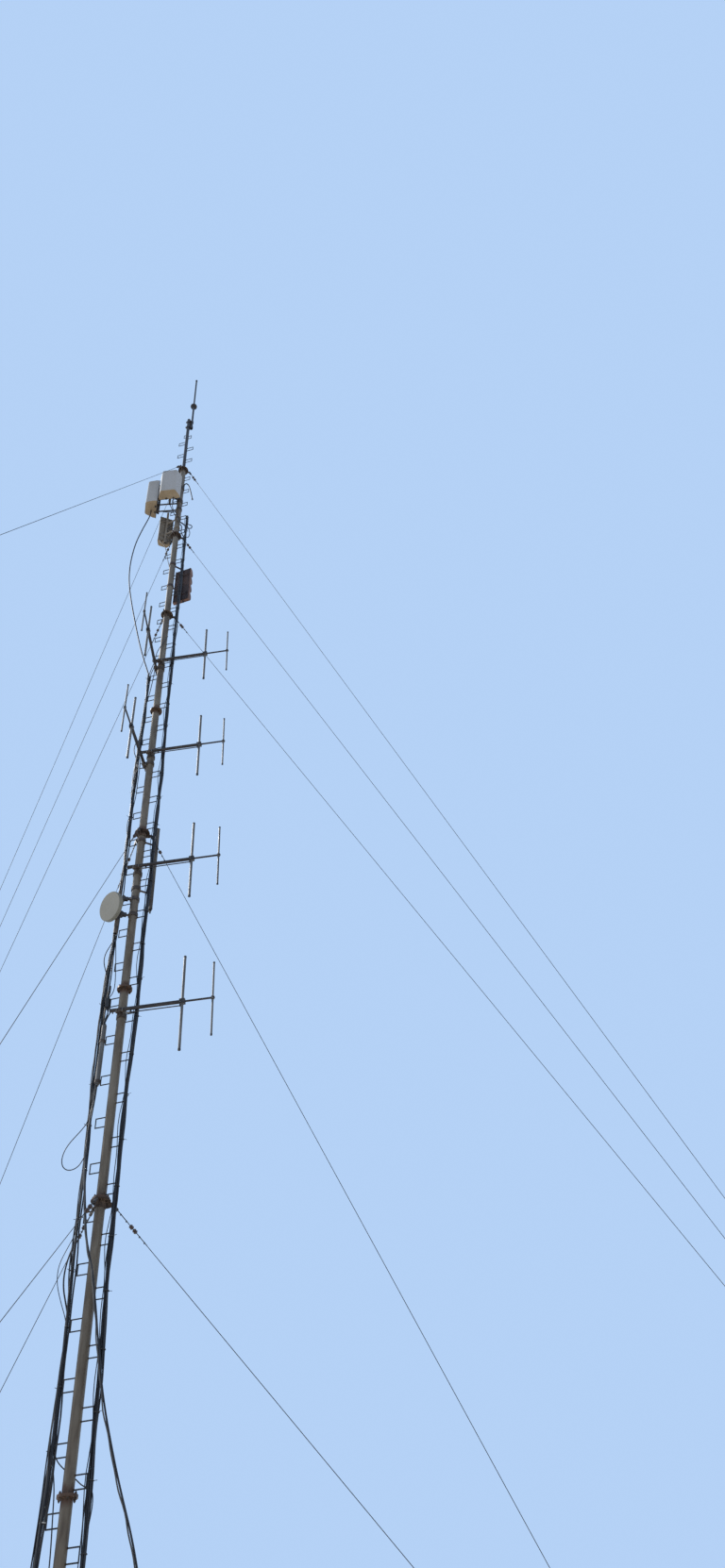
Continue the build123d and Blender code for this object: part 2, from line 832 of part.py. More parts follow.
def divider():
    """Long tube of the power divider with a smaller cap at each end."""
    body = Pos(0, 0, divider_length / 2) * Cylinder(divider_od / 2, divider_length)
    for end in (0, divider_length):
        body += Pos(0, 0, end) * Cylinder(divider_od / 2 - 10, 50)
    return Pos(divider_axis() + Vector(0, 0, base_length + divider_low)) * body


def divider_clips():
    """Clips that stand off the tips of two climbing steps and hold the divider."""
    clips = []
    for number in divider_steps:
        middle = step_middle(left_step_first, number)
        run = divider_out + divider_od / 2
        block_centre = step_tip(left_step_azimuth, run / 2) + middle
        clip = turned_box(block_centre, run, left_step_azimuth, step_bar, 40)
        clip += Pos(divider_axis() + middle) * Cylinder(divider_od / 2 + 6, 40)
        clip -= Pos(divider_axis() + middle) * Cylinder(divider_od / 2 + seat_gap, 60)
        clips.append(clip)
    return clips


def socketed_box(centre, azimuth, wide, deep, height):
    """Small closed box with two cable sockets under it."""
    body = turned_box(centre, deep, azimuth, wide, height)
    body = fillet(body.edges().filter_by(Axis.Z), 10)
    hang = (Align.CENTER, Align.CENTER, Align.MAX)
    for shift in (-wide / 4, wide / 4):
        side = heading(azimuth + 90) * shift
        socket = Cylinder(socket_od / 2, socket_length + 1, align=hang)
        body += Pos(centre + side - Vector(0, 0, height / 2 - 1)) * socket
    return body


def junction_box():
    """Box at the upper end of the right feeders, seated on the tip of a step."""
    centre = step_tip(right_step_azimuth, junction_deep / 2)
    centre += step_middle(right_step_first, junction_step) - Vector(0, 0, junction_drop)
    return socketed_box(centre, right_step_azimuth, junction_wide, junction_deep, junction_height)


def splitter_box():
    """Box seated on the tip of one of the left steps."""
    centre = step_tip(left_step_azimuth, splitter_deep / 2)
    centre += step_middle(left_step_first, splitter_step)
    return socketed_box(centre, left_step_azimuth, splitter_wide, splitter_deep, splitter_height)


def feeder_duct(azimuth):
    """Short upright duct beside the base flange, for the cables."""
    centre = heading(azimuth) * (base_flange_od / 2 + duct_od / 2 + seat_gap)
    low = (Align.CENTER, Align.CENTER, Align.MIN)
    duct = Cylinder(duct_od / 2, duct_height, align=low)
    duct -= Pos(0, 0, -1) * Cylinder(duct_od / 2 - duct_wall, duct_height * 2, align=low)
    return Pos(centre) * duct


# Cables, each a tube along straight runs joined by tangent arcs
def cable(points, diameter, name):
    """Tube along a route, with each arc as large as its two runs allow."""
    route = [Vector(*point) for point in points]
    radii = []
    for before, here, after in zip(route, route[1:], route[2:]):
        first = here - before
        second = after - here
        turn = radians(first.get_angle(second))
        radii.append(0.45 * min(first.length, second.length) / tan(turn / 2))
    path = FilletPolyline(*route, radius=radii)
    start = Plane(origin=path @ 0, z_dir=path % 0)
    tube = sweep(start * Circle(diameter / 2), path=path)
    expected = pi * diameter ** 2 / 4 * path.length
    print(name, "length", round(path.length), "least radius", round(min(radii)))
    print(name, "radii", [round(radius) for radius in radii])
    print(name, "volume over section times length", round(tube.volume / expected, 4))
    return tube


right_duct = heading(right_step_azimuth) * (base_flange_od / 2 + duct_od / 2 + seat_gap)
left_duct = heading(left_step_azimuth) * (base_flange_od / 2 + duct_od / 2 + seat_gap)

left_feeder_route = [
    (-200, 104, 17620), (-194, 112, 17050), (-190, 116, 16450), (-206, 108, 15850),
    (-217, 100, 15250), (-220, 104, 14650), (-212, 110, 14050), (-203, 104, 13450),
    (-202, 110, 12850), (-203, 104, 12250), (-216, 112, 11650), (-232, 122, 11050),
    (-250, 144, 10450), (-257, 151, 9850), (-256, 153, 9250), (-250, 146, 8650),
    (-232, 118, 8080), (-229, 108, 7500), (-226, 102, 6950), (-205, 104, 6400),
    (-200, 112, 5800), (-192, 118, 5230), (-189, 124, 4700), (-212, 112, 4200),
    (-238, 104, 3700), (-236, 112, 3150), (-224, 104, 2600), (-228, 112, 2050),
    (-224, 106, 1500), (-230, 114, 950), (-229, 108, 420), (-227, 113, 8),
]
right_feeder_route = [
    (206, -102.5, 23076.5), (204, -102, 22640), (204, -102, 22200), (203, -104, 21600), (200, -98, 20980),
    (203, -104, 20360), (197, -100, 19760), (195, -106, 19160), (194, -102, 18560),
    (197, -100, 17940), (194, -106, 17340), (191, -110, 16740), (195, -104, 16120),
    (202, -98, 15500), (208, -94, 14900), (205, -100, 14300), (196, -104, 13700),
    (192, -110, 13120), (197, -100, 12600), (188, -116, 12040), (176, -126, 11480),
    (184, -116, 10900), (198, -100, 10300), (192, -108, 9720), (168, -124, 9160),
    (163, -122, 8560), (162, -126, 7980), (170, -122, 7420), (157, -126, 6880),
    (168, -122, 6320), (197, -106, 5760), (196, -102, 5180), (203, -96, 4620),
    (212, -92, 4060), (206, -100, 3460), (208, -96, 2860), (204, -102, 2260),
    (208, -98, 1660), (206, -102, 1080), (216, -106, 520), (213, -108, 8),
]
panel_cable_route = [
    (-612, 165, 23679), (-614, 150, 23450), (-656, 130, 23164), (-712, 105, 22832),
    (-764, 82, 22490), (-812, 62, 22140), (-842, 50, 21790), (-860, 46, 21440),
    (-863, 46, 21080), (-848, 50, 20720), (-810, 56, 20370), (-756, 60, 20030),
    (-694, 65, 19690), (-626, 71, 19350), (-556, 77, 19010), (-486, 82, 18680),
    (-414, 89, 18370), (-340, 95, 18090), (-268, 100, 17850), (-205, 104, 17624),
]
crossing_cable_route = [
    (-213, 106, 9054), (-214, 98, 8920), (-222, 70, 8760), (-232, 36, 8560),
    (-238, 0, 8350), (-236, -40, 8130), (-226, -84, 7900), (-212, -122, 7720),
    (-196, -150, 7550), (-174, -160, 7380), (-146, -168, 7190), (-118, -172, 6990),
    (-66, -174, 6800), (-8, -176, 6620), (38, -178, 6400), (82, -178, 6180),
    (122, -180, 5950), (170, -184, 5700), (222, -188, 5430), (290, -192, 5160),
    (368, -197, 4900), (450, -202, 4640), (538, -207, 4390), (626, -212, 4150),
    (702, -216, 3900), (762, -217, 3640), (798, -215, 3370), (806, -210, 3090),
    (788, -203, 2820), (750, -195, 2550), (700, -187, 2280), (642, -179, 2010),
    (578, -171, 1750), (512, -163, 1490), (446, -156, 1230), (384, -149, 970),
    (326, -143, 710), (282, -136, 460), (259, -129, 230), (263.8, -131.5, 8),
]
slack_loop_route = [
    (-252, 117.6, 8700), (-259, 112, 8590), (-292, 98, 8490), (-342, 84, 8400),
    (-400, 72, 8310), (-456, 64, 8220), (-500, 62, 8120), (-518, 62, 8010),
    (-496, 64, 7920), (-440, 68, 7880), (-376, 74, 7890), (-322, 80, 7930),
    (-284, 86, 7990), (-255.3, 101.2, 8080),
]

save("base_section", [base_section()])
for index in range(section_count):
    low = joint_height(index)
    section = flanged_pipe(low, low + section_length, flange_od, flange_thick)
    save(f"mast_section_{index + 1}", [section])

save("steps_right", step_row(right_step_azimuth, right_step_first, right_top_steps))
save("steps_left", step_row(left_step_azimuth, left_step_first, left_top_steps))

for index, joint in enumerate(collar_joints):
    save(f"guy_collar_{index + 1}", [guy_collar(joint)])

shackles = []
tensioners = []
insulators = []
for side, joints in guy_joints.items():
    wires = []
    for joint in joints:
        wire, beads, shackle, tensioner = guy(side, joint)
        wires.extend(wire)
        insulators.extend(beads)
        shackles.append(shackle)
        tensioners.append(tensioner)
    save(f"guys_{side}", wires)
save("guy_insulators", insulators)
save("guy_shackles", shackles)
save("guy_tensioners", tensioners)
save("ground_anchors", [ground_anchor(anchor, eyes) for anchor, eyes in anchor_list()])
save("anchor_footings", [anchor_footing(anchor) for anchor, eyes in anchor_list()])

save("top_pole", [top_pole()])
save("top_extension", [top_extension()])
save("whip_antenna", [whip_antenna()])

clamps = []
for side, booms in (("right", right_booms), ("left", left_booms)):
    elements = []
    for index, (azimuth, rise) in enumerate(booms):
        height = base_length + rise
        save(f"boom_{side}_{index + 1}", [antenna_boom(azimuth, height)])
        elements.extend(antenna_elements(azimuth, height))
        clamps.append(boom_clamp(azimuth, height))
    save(f"elements_{side}", elements)
save("boom_clamps", clamps)

for name, panel, arm_shares, ribs, lobes in panels:
    save(f"{name}_radome", [lobed_radome(panel, lobes) if lobes else panel_radome(panel)])
    save(f"{name}_frame", [panel_frame(panel, arm_shares, ribs)])

save("dish", [dish()])
save("dish_mount", [dish_mount()])
save("slim_antenna", [slim_antenna()])
save("slim_brackets", slim_brackets())
save("divider", [divider()])
save("divider_clips", divider_clips())
save("splitter_box", [splitter_box()])
save("junction_box", [junction_box()])
save("feeder_ducts", [feeder_duct(left_step_azimuth), feeder_duct(right_step_azimuth)])
save("left_feeders", [cable(left_feeder_route, feeder_od, "left feeders")])
save("right_feeders", [cable(right_feeder_route, feeder_od, "right feeders")])
save("panel_cable", [cable(panel_cable_route, panel_cable_od, "panel cable")])
save("crossing_cable", [cable(crossing_cable_route, crossing_cable_od, "crossing cable")])
save("slack_loop", [cable(slack_loop_route, slack_cable_od, "slack loop")])
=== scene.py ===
import json
import math

import bpy
from mathutils import Matrix, Vector


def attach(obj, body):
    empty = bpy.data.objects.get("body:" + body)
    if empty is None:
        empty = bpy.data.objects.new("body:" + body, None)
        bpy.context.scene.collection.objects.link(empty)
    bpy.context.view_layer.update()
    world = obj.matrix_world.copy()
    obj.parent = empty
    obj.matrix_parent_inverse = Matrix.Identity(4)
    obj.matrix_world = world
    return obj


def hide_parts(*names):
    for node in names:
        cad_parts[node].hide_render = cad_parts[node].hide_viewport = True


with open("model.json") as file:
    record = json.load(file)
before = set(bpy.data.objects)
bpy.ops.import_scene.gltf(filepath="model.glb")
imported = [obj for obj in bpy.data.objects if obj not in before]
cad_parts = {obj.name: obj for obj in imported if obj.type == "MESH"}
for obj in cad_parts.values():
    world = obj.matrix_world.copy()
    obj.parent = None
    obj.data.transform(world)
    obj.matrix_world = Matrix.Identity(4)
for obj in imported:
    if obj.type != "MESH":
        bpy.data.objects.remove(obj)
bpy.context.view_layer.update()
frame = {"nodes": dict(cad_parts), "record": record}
scene = bpy.context.scene

# Sizes that repeat the mast's own, in metres; round things are given by their radius
POLE = 0.060
WELD = 0.0045
FLANGE_THICK = 0.014
BOLT_CIRCLE = 0.087
BOLT_COUNT = 6
FIRST_BOLT = 58
BASE_THICK = 0.020
BASE_BOLT_CIRCLE = 0.160
BASE_BOLT_COUNT = 8
BASE_LENGTH = 1.5
SECTION = 3.0
SECTION_COUNT = 8
JOINTS = [BASE_LENGTH + SECTION * number for number in range(SECTION_COUNT + 1)]
COLLAR_JOINTS = (7.5, 13.5, 19.5, 22.5, 25.5)
COLLAR_PLATE = 0.012

# Climbing steps: azimuths, height of the first one over a joint, and their own sizes
RIGHT_STEPS = 116.5
LEFT_STEPS = 296.5
FIRST_RIGHT = 0.183
FIRST_LEFT = 0.483
STEP_PITCH = 0.6
SECTION_STEPS = 5
STEP_RODS = (0.007, 0.133)
STEP_SEAT = 0.1966

# Top of the mast
TOP_POLE = 0.038
RIGHT_TOP_STEPS = (0.500, 1.100, 1.760)
LEFT_TOP_STEPS = (0.850, 1.480, 1.850)
EXTENSION_AXIS = 0.085
EXTENSION_AZIMUTH = 100
EXTENSION_CLAMPS = (2.270, 2.560)
FILLER_PLATE = (0.0185, 0.034, 0.420)
FILLER_AXIS = 0.0493

# Ducts beside the base flange
DUCT = 0.055
DUCT_AXIS = 0.2553

# Upright antennas: azimuth and height of each boom, then reach, half length and radius of the tubes
RIGHT_BOOMS = [(109.6, 10.100), (109.6, 12.700), (109.6, 15.320), (109.6, 17.880)]
LEFT_BOOMS = [(198.5, 15.106), (194.0, 17.780)]
BOOM_OFFSET = 0.098
BOOM = 0.026
DRIVEN = (0.856, 0.750, 0.019)
DIRECTOR = (1.272, 0.585, 0.0135)
FEED_TUBE_DROP = 0.062

# Guys: anchors, joints that each side holds, and places of the insulators along each guy
INNER_ANCHORS = {"right": (7.140, 0.670), "far": (-3.940, 6.840), "near": (-2.620, -6.700)}
OUTER_ANCHORS = {"right": (12.130, 0.300), "far": (-6.400, 10.160), "near": (-5.380, -10.180)}
INNER_JOINTS = (2, 4)
GUY_JOINTS = {"right": (2, 4, 6, 7, 8), "far": (2, 4, 6, 7, 8), "near": (2, 4, 8)}
BEADS = {
    "right": ((0.340, 0.405), (0.340,), (0.270, 0.330), (0.270, 0.370), (0.230, 0.330)),
    "far": ((0.230, 0.340), (0.340, 0.610), (0.230, 0.340), (0.230, 0.340), (0.230, 0.340)),
    "near": ((0.230, 0.340), (0.230, 0.340), (0.230, 0.340)),
}
BEAD_HALF = 0.027
LUG_HOLE_OUT = 0.150
LUG_HOLE_DROP = 0.030
ANCHOR_LEAN = (0.6, 0.8)
ANCHOR_HOLE = 0.662
ANCHOR_HOLE_GAP = 0.07

# Camera of the photograph, in the mast's own frame
EYE = (0.0, -12.576, 1.575)
PITCH = 46.12
YAW = 16.37
ROLL = -5.51
FOCAL_PIXELS = 1134.0
IMAGE_HEIGHT = 1662.0
SENSOR = 36.0


def heading(azimuth):
    """Level unit vector, clockwise from +Y."""
    angle = math.radians(azimuth)
    return Vector((math.sin(angle), math.cos(angle), 0.0))


def lift(height):
    """Vector straight up."""
    return Vector((0, 0, height))


def azimuth_of(place):
    return math.degrees(math.atan2(place[0], place[1]))


def stand(point, up=(0, 0, 1), front=(1, 0, 0)):
    """Place with z along up and x towards front."""
    z_way = Vector(up).normalized()
    y_way = z_way.cross(Vector(front)).normalized()
    x_way = y_way.cross(z_way)
    turn = Matrix((x_way, y_way, z_way)).transposed().to_4x4()
    return Matrix.Translation(Vector(point)) @ turn


def boom_place(azimuth, height):
    """Place with x along a boom and z up, beside the mast."""
    along = heading(azimuth)
    across = lift(1).cross(along)
    return stand(across * -BOOM_OFFSET + lift(height), (0, 0, 1), along)


def panel_place(x, y, low, facing):
    """Place at the middle of a panel's lower back edge, with y out of its front."""
    return stand((x, y, low), (0, 0, 1), heading(facing + 90))


# Camera
def add_camera():
    yaw = math.radians(YAW)
    pitch = math.radians(PITCH)
    roll = math.radians(ROLL)
    ahead = Vector((math.sin(yaw) * math.cos(pitch), math.cos(yaw) * math.cos(pitch), math.sin(pitch)))
    level = Vector((math.cos(yaw), -math.sin(yaw), 0.0))
    above = level.cross(ahead)
    right = level * math.cos(roll) + above * math.sin(roll)
    upper = above * math.cos(roll) - level * math.sin(roll)
    bpy.ops.object.camera_add(location=EYE)
    camera = bpy.context.object
    turn = Matrix((right, upper, -ahead)).transposed().to_4x4()
    camera.matrix_world = Matrix.Translation(Vector(EYE)) @ turn
    camera.data.sensor_fit = "VERTICAL"
    camera.data.sensor_height = SENSOR
    camera.data.lens = SENSOR * FOCAL_PIXELS / IMAGE_HEIGHT
    camera.data.clip_end = 200.0
    scene.camera = camera


add_camera()


# Light and sky
SUN_AZIMUTH = 306
SUN_LEVEL = math.cos(math.radians(42))
SUN_RISE = 0.67


def math_node(nodes, operation):
    made = nodes.new("ShaderNodeMath")
    made.operation = operation
    return made


def add_light():
    bpy.ops.object.light_add(type="SUN")
    sun = bpy.context.object
    sun.matrix_world = stand((0, 0, 40), heading(SUN_AZIMUTH) * SUN_LEVEL + lift(SUN_RISE))
    sun.data.energy = 3.0
    sun.data.angle = math.radians(6)
    sun.data.color = (1.0, 0.96, 0.90)
    world = bpy.data.worlds.new("pale_sky")
    scene.world = world
    world.use_nodes = True
    nodes = world.node_tree.nodes
    link = world.node_tree.links.new
    soft = nodes["Background"]
    soft.inputs["Color"].default_value = (0.72, 0.82, 1.0, 1)
    soft.inputs["Strength"].default_value = 0.55
    shown = nodes.new("ShaderNodeBackground")
    shown.inputs["Color"].default_value = (0.46, 0.64, 0.92, 1)
    shown.inputs["Strength"].default_value = 1.0
    ray = nodes.new("ShaderNodeLightPath")
    first = math_node(nodes, "MAXIMUM")
    second = math_node(nodes, "MAXIMUM")
    mix = nodes.new("ShaderNodeMixShader")
    link(ray.outputs["Is Camera Ray"], first.inputs[0])
    link(ray.outputs["Is Glossy Ray"], first.inputs[1])
    link(first.outputs[0], second.inputs[0])
    link(ray.outputs["Is Transmission Ray"], second.inputs[1])
    link(second.outputs[0], mix.inputs["Fac"])
    link(soft.outputs[0], mix.inputs[1])
    link(shown.outputs[0], mix.inputs[2])
    link(mix.outputs[0], nodes["World Output"].inputs["Surface"])
    scene.view_settings.view_transform = "Standard"


add_light()


# Finishes
def tree_of(made):
    """Nodes of a finish, the call that links two of them, and its shader."""
    tree = made.node_tree
    return tree.nodes, tree.links.new, tree.nodes["Principled BSDF"]


def ramp_tones(nodes, tones):
    ramp = nodes.new("ShaderNodeValToRGB")
    elements = ramp.color_ramp.elements
    while len(elements) < len(tones):
        elements.new(0.5)
    for element, (spot, color) in zip(elements, tones):
        element.position = spot
        element.color = (*color, 1)
    return ramp


def noise_node(nodes, name, scale, detail):
    made = nodes.new("ShaderNodeTexNoise")
    made.name = name
    made.inputs["Scale"].default_value = scale
    made.inputs["Detail"].default_value = detail
    return made


def range_node(nodes, source, target=(0.0, 1.0)):
    """Node that maps one range of values onto another."""
    made = nodes.new("ShaderNodeMapRange")
    made.inputs["From Min"].default_value = source[0]
    made.inputs["From Max"].default_value = source[1]
    made.inputs["To Min"].default_value = target[0]
    made.inputs["To Max"].default_value = target[1]
    return made


def color_mix(nodes):
    made = nodes.new("ShaderNodeMix")
    made.data_type = "RGBA"
    return made


def weathered(name, tones, scale, rough, metal=0.0, stretch=(1, 1, 1), grain=90.0, bump=0.15,
              depth=0.002, detail=6.0):
    """Finish whose tones, gloss and grain vary over the piece."""
    made = bpy.data.materials.new(name)
    made.use_nodes = True
    nodes, link, shader = tree_of(made)
    shader.inputs["Metallic"].default_value = metal
    place = nodes.new("ShaderNodeTexCoord")
    spread = nodes.new("ShaderNodeMapping")
    spread.inputs["Scale"].default_value = stretch
    link(place.outputs["Object"], spread.inputs["Vector"])
    blotches = noise_node(nodes, "blotches", scale, detail)
    blotches.inputs["Roughness"].default_value = 0.62
    link(spread.outputs["Vector"], blotches.inputs["Vector"])
    ramp = ramp_tones(nodes, tones)
    ramp.name = "tones"
    link(blotches.outputs["Fac"], ramp.inputs["Fac"])
    link(ramp.outputs["Color"], shader.inputs["Base Color"])
    fine = noise_node(nodes, "grain", grain, 3.0)
    link(spread.outputs["Vector"], fine.inputs["Vector"])
    gloss = range_node(nodes, (0.3, 0.7), rough)
    link(fine.outputs["Fac"], gloss.inputs["Value"])
    link(gloss.outputs["Result"], shader.inputs["Roughness"])
    raised = nodes.new("ShaderNodeBump")
    raised.inputs["Strength"].default_value = bump
    raised.inputs["Distance"].default_value = depth
    link(fine.outputs["Fac"], raised.inputs["Height"])
    link(raised.outputs["Normal"], shader.inputs["Normal"])
    return made


def add_joint_rust(made, reach, rust):
    """Rust that gathers at the flange joints of the mast."""
    nodes, link, shader = tree_of(made)
    place = nodes.new("ShaderNodeTexCoord")
    parts = nodes.new("ShaderNodeSeparateXYZ")
    link(place.outputs["Object"], parts.inputs[0])
    lower = math_node(nodes, "SUBTRACT")
    lower.inputs[1].default_value = JOINTS[0]
    link(parts.outputs["Z"], lower.inputs[0])
    away = math_node(nodes, "PINGPONG")
    away.inputs[1].default_value = SECTION / 2
    link(lower.outputs[0], away.inputs[0])
    near = range_node(nodes, (0.0, reach), (0.62, 0.0))
    link(away.outputs[0], near.inputs["Value"])
    total = math_node(nodes, "ADD")
    link(near.outputs["Result"], total.inputs[0])
    link(nodes["blotches"].outputs["Fac"], total.inputs[1])
    edge = range_node(nodes, (0.62, 0.86))
    link(total.outputs[0], edge.inputs["Value"])
    mix = color_mix(nodes)
    mix.inputs[7].default_value = (*rust, 1)
    link(edge.outputs["Result"], mix.inputs[0])
    link(nodes["tones"].outputs["Color"], mix.inputs[6])
    link(mix.outputs[2], shader.inputs["Base Color"])


def add_painted_underside_light(made, tones):
    """Painted bounce light: warm tan tones on the faces that look down, standing in for light thrown up from
    the ground.
    """
    nodes, link, shader = tree_of(made)
    face = nodes.new("ShaderNodeNewGeometry")
    parts = nodes.new("ShaderNodeSeparateXYZ")
    link(face.outputs["True Normal"], parts.inputs[0])
    turned = range_node(nodes, (-0.25, -0.50))
    link(parts.outputs["Z"], turned.inputs["Value"])
    ramp = ramp_tones(nodes, tones)
    link(nodes["blotches"].outputs["Fac"], ramp.inputs["Fac"])
    mix = color_mix(nodes)
    link(turned.outputs["Result"], mix.inputs[0])
    link(nodes["tones"].outputs["Color"], mix.inputs[6])
    link(ramp.outputs["Color"], mix.inputs[7])
    link(mix.outputs[2], shader.inputs["Base Color"])


mast_finish = weathered("weathered_mast", [
    (0.30, (0.072, 0.051, 0.034)), (0.46, (0.133, 0.104, 0.072)), (0.60, (0.178, 0.147, 0.108)),
    (0.75, (0.272, 0.240, 0.186)),
], 3.2, (0.36, 0.58), metal=0.25, stretch=(3.0, 3.0, 0.55), grain=70, bump=0.08, depth=0.0008)
add_joint_rust(mast_finish, 0.14, (0.085, 0.045, 0.025))
rust_finish = weathered("rusted_steel", [
    (0.32, (0.024, 0.017, 0.013)), (0.50, (0.056, 0.036, 0.025)), (0.68, (0.135, 0.092, 0.062)),
], 14.0, (0.62, 0.92), metal=0.1, grain=160, bump=0.4)
step_finish = weathered("step_bar", [
    (0.35, (0.016, 0.016, 0.018)), (0.65, (0.046, 0.042, 0.040)),
], 9.0, (0.50, 0.78), metal=0.3, grain=150, bump=0.12)
wire_finish = weathered("guy_strand", [
    (0.35, (0.018, 0.018, 0.020)), (0.65, (0.048, 0.046, 0.045)),
], 6.0, (0.46, 0.68), metal=0.3, grain=300, bump=0.3)
glaze_finish = weathered("glazed_insulator", [
    (0.35, (0.030, 0.018, 0.014)), (0.65, (0.070, 0.040, 0.028)),
], 20.0, (0.16, 0.34), grain=60, bump=0.05)
fitting_finish = weathered("galvanised_fittings", [
    (0.30, (0.12, 0.11, 0.095)), (0.50, (0.20, 0.195, 0.19)), (0.70, (0.31, 0.31, 0.30)),
], 16.0, (0.38, 0.66), metal=0.45, grain=120, bump=0.18)
dark_finish = weathered("dark_steel", [
    (0.30, (0.022, 0.023, 0.027)), (0.50, (0.045, 0.045, 0.050)), (0.70, (0.095, 0.085, 0.075)),
], 9.0, (0.42, 0.70), metal=0.3, stretch=(1, 1, 0.4), grain=130, bump=0.18)
boom_finish = weathered("dark_boom", [
    (0.30, (0.016, 0.014, 0.015)), (0.52, (0.029, 0.025, 0.025)), (0.72, (0.066, 0.057, 0.052)),
], 12.0, (0.36, 0.60), metal=0.3, grain=150, bump=0.1)
plate_finish = weathered("ribbed_plate", [
    (0.30, (0.145, 0.118, 0.088)), (0.50, (0.205, 0.172, 0.132)), (0.70, (0.265, 0.232, 0.188)),
], 5.0, (0.55, 0.76), metal=0.1, stretch=(1, 1, 0.2), grain=60, bump=0.03, depth=0.0004, detail=2.0)
concrete_finish = weathered("footing_concrete", [
    (0.30, (0.30, 0.28, 0.25)), (0.50, (0.44, 0.42, 0.38)), (0.72, (0.56, 0.54, 0.50)),
], 9.0, (0.80, 0.96), grain=120, bump=0.6, depth=0.004)
tube_finish = weathered("antenna_tube", [
    (0.32, (0.075, 0.070, 0.066)), (0.52, (0.125, 0.118, 0.110)), (0.70, (0.185, 0.178, 0.168)),
], 10.0, (0.32, 0.52), metal=0.35, stretch=(1, 1, 0.35), grain=140, bump=0.1)
radome_finish = weathered("white_housing", [
    (0.28, (0.325, 0.315, 0.29)), (0.48, (0.37, 0.37, 0.36)), (0.66, (0.40, 0.40, 0.40)),
], 2.2, (0.50, 0.57), stretch=(1, 1, 0.3), grain=40, bump=0.006, depth=0.0004, detail=2.0)
# Painted bounce light on the housings' undersides: tan tones where the faces look down
add_painted_underside_light(
    radome_finish,
    [(0.32, (0.205, 0.145, 0.080)), (0.52, (0.265, 0.195, 0.115)), (0.72, (0.32, 0.245, 0.155))],
)
brown_finish = weathered("red_brown_back", [
    (0.30, (0.07, 0.032, 0.022)), (0.50, (0.14, 0.068, 0.045)), (0.70, (0.23, 0.135, 0.095)),
], 6.0, (0.55, 0.80), grain=140, bump=0.2)
dish_finish = weathered("dish_paint", [
    (0.30, (0.150, 0.145, 0.115)), (0.50, (0.172, 0.168, 0.136)), (0.72, (0.196, 0.192, 0.158)),
], 3.0, (0.48, 0.62), grain=160, bump=0.02, depth=0.0004)
black_finish = weathered("black_housing", [
    (0.35, (0.012, 0.012, 0.013)), (0.65, (0.030, 0.029, 0.029)),
], 8.0, (0.52, 0.70), grain=220, bump=0.05, depth=0.0005)
# Pale jackets, partly dust and partly painted highlight: they stand in for the sunlit glints along the
# strands' left edges
dust_and_highlight_finish = weathered("dust_and_highlight_jacket", [
    (0.32, (0.034, 0.032, 0.031)), (0.52, (0.080, 0.075, 0.069)), (0.72, (0.195, 0.182, 0.165)),
], 7.0, (0.30, 0.50), stretch=(1, 1, 0.4), grain=200, bump=0.05, depth=0.0005)
slim_finish = weathered("slim_housing", [
    (0.34, (0.060, 0.046, 0.042)), (0.52, (0.100, 0.092, 0.080)), (0.70, (0.175, 0.170, 0.145)),
], 5.0, (0.70, 0.86), stretch=(1, 1, 0.3), grain=60, bump=0.03, depth=0.0004, detail=2.0)
maroon_finish = weathered("maroon_plate", [
    (0.30, (0.030, 0.020, 0.022)), (0.50, (0.052, 0.033, 0.032)), (0.70, (0.105, 0.062, 0.050)),
], 4.0, (0.55, 0.76), stretch=(1, 1, 0.6), grain=60, bump=0.03, depth=0.0004, detail=2.0)
bracket_finish = weathered("stained_brackets", [
    (0.30, (0.030, 0.024, 0.022)), (0.50, (0.062, 0.048, 0.040)), (0.70, (0.125, 0.098, 0.078)),
], 9.0, (0.50, 0.78), metal=0.2, grain=130, bump=0.12, depth=0.001)
cable_finish = weathered("cable_jacket", [
    (0.34, (0.008, 0.008, 0.011)), (0.58, (0.014, 0.014, 0.017)), (0.76, (0.038, 0.034, 0.031)),
], 5.0, (0.44, 0.62), grain=260, bump=0.05, depth=0.0005)
whip_finish = weathered("whip_fibre", [
    (0.35, (0.010, 0.010, 0.014)), (0.65, (0.026, 0.024, 0.028)),
], 5.0, (0.46, 0.64), stretch=(1, 1, 0.2), grain=180, bump=0.08)
duct_finish = weathered("duct_plastic", [
    (0.35, (0.24, 0.25, 0.26)), (0.65, (0.36, 0.37, 0.38)),
], 6.0, (0.45, 0.65), grain=180, bump=0.06)
tie_finish = weathered("pale_tie", [
    (0.35, (0.52, 0.51, 0.48)), (0.65, (0.74, 0.73, 0.70)),
], 12.0, (0.40, 0.60), grain=200, bump=0.05)

SLOT_FINISHES = {
    "weathered_steel": mast_finish,
    "rusty_steel": rust_finish,
    "step_steel": step_finish,
    "guy_wire": wire_finish,
    "insulator_brown": glaze_finish,
    "fitting_steel": fitting_finish,
    "footing_concrete": concrete_finish,
    "antenna_aluminium": tube_finish,
    "radome_white": radome_finish,
    "radome_brown": brown_finish,
    "dish_white": dish_finish,
    "slim_black": black_finish,
    "box_black": black_finish,
    "cable_black": cable_finish,
    "whip_dark": whip_finish,
    "duct_grey": duct_finish,
    "dark_steel": dark_finish,
    "plate_brown": plate_finish,
    "boom_dark": boom_finish,
}


def paint(piece, finish):
    piece.data.materials.clear()
    piece.data.materials.append(finish)


# Nodes whose finish differs from that of their slot
STAINED_NODES = (
    "slim_brackets", "dish_mount", "panel_1_frame", "panel_2_frame", "divider_clips", "boom_clamps",
)
NODE_FINISHES = {
    "slim_antenna": slim_finish,
    "panel_4_frame": maroon_finish,
    "guy_shackles": dark_finish,
    "top_pole": whip_finish,
    "top_extension": whip_finish,
}
NODE_FINISHES.update(dict.fromkeys(STAINED_NODES, bracket_finish))

slot_of = {part["node"]: part["material_slot"] for part in frame["record"]["subparts"]}
for node, piece in frame["nodes"].items():
    if piece.type == "MESH":
        paint(piece, NODE_FINISHES.get(node, SLOT_FINISHES[slot_of[node]]))


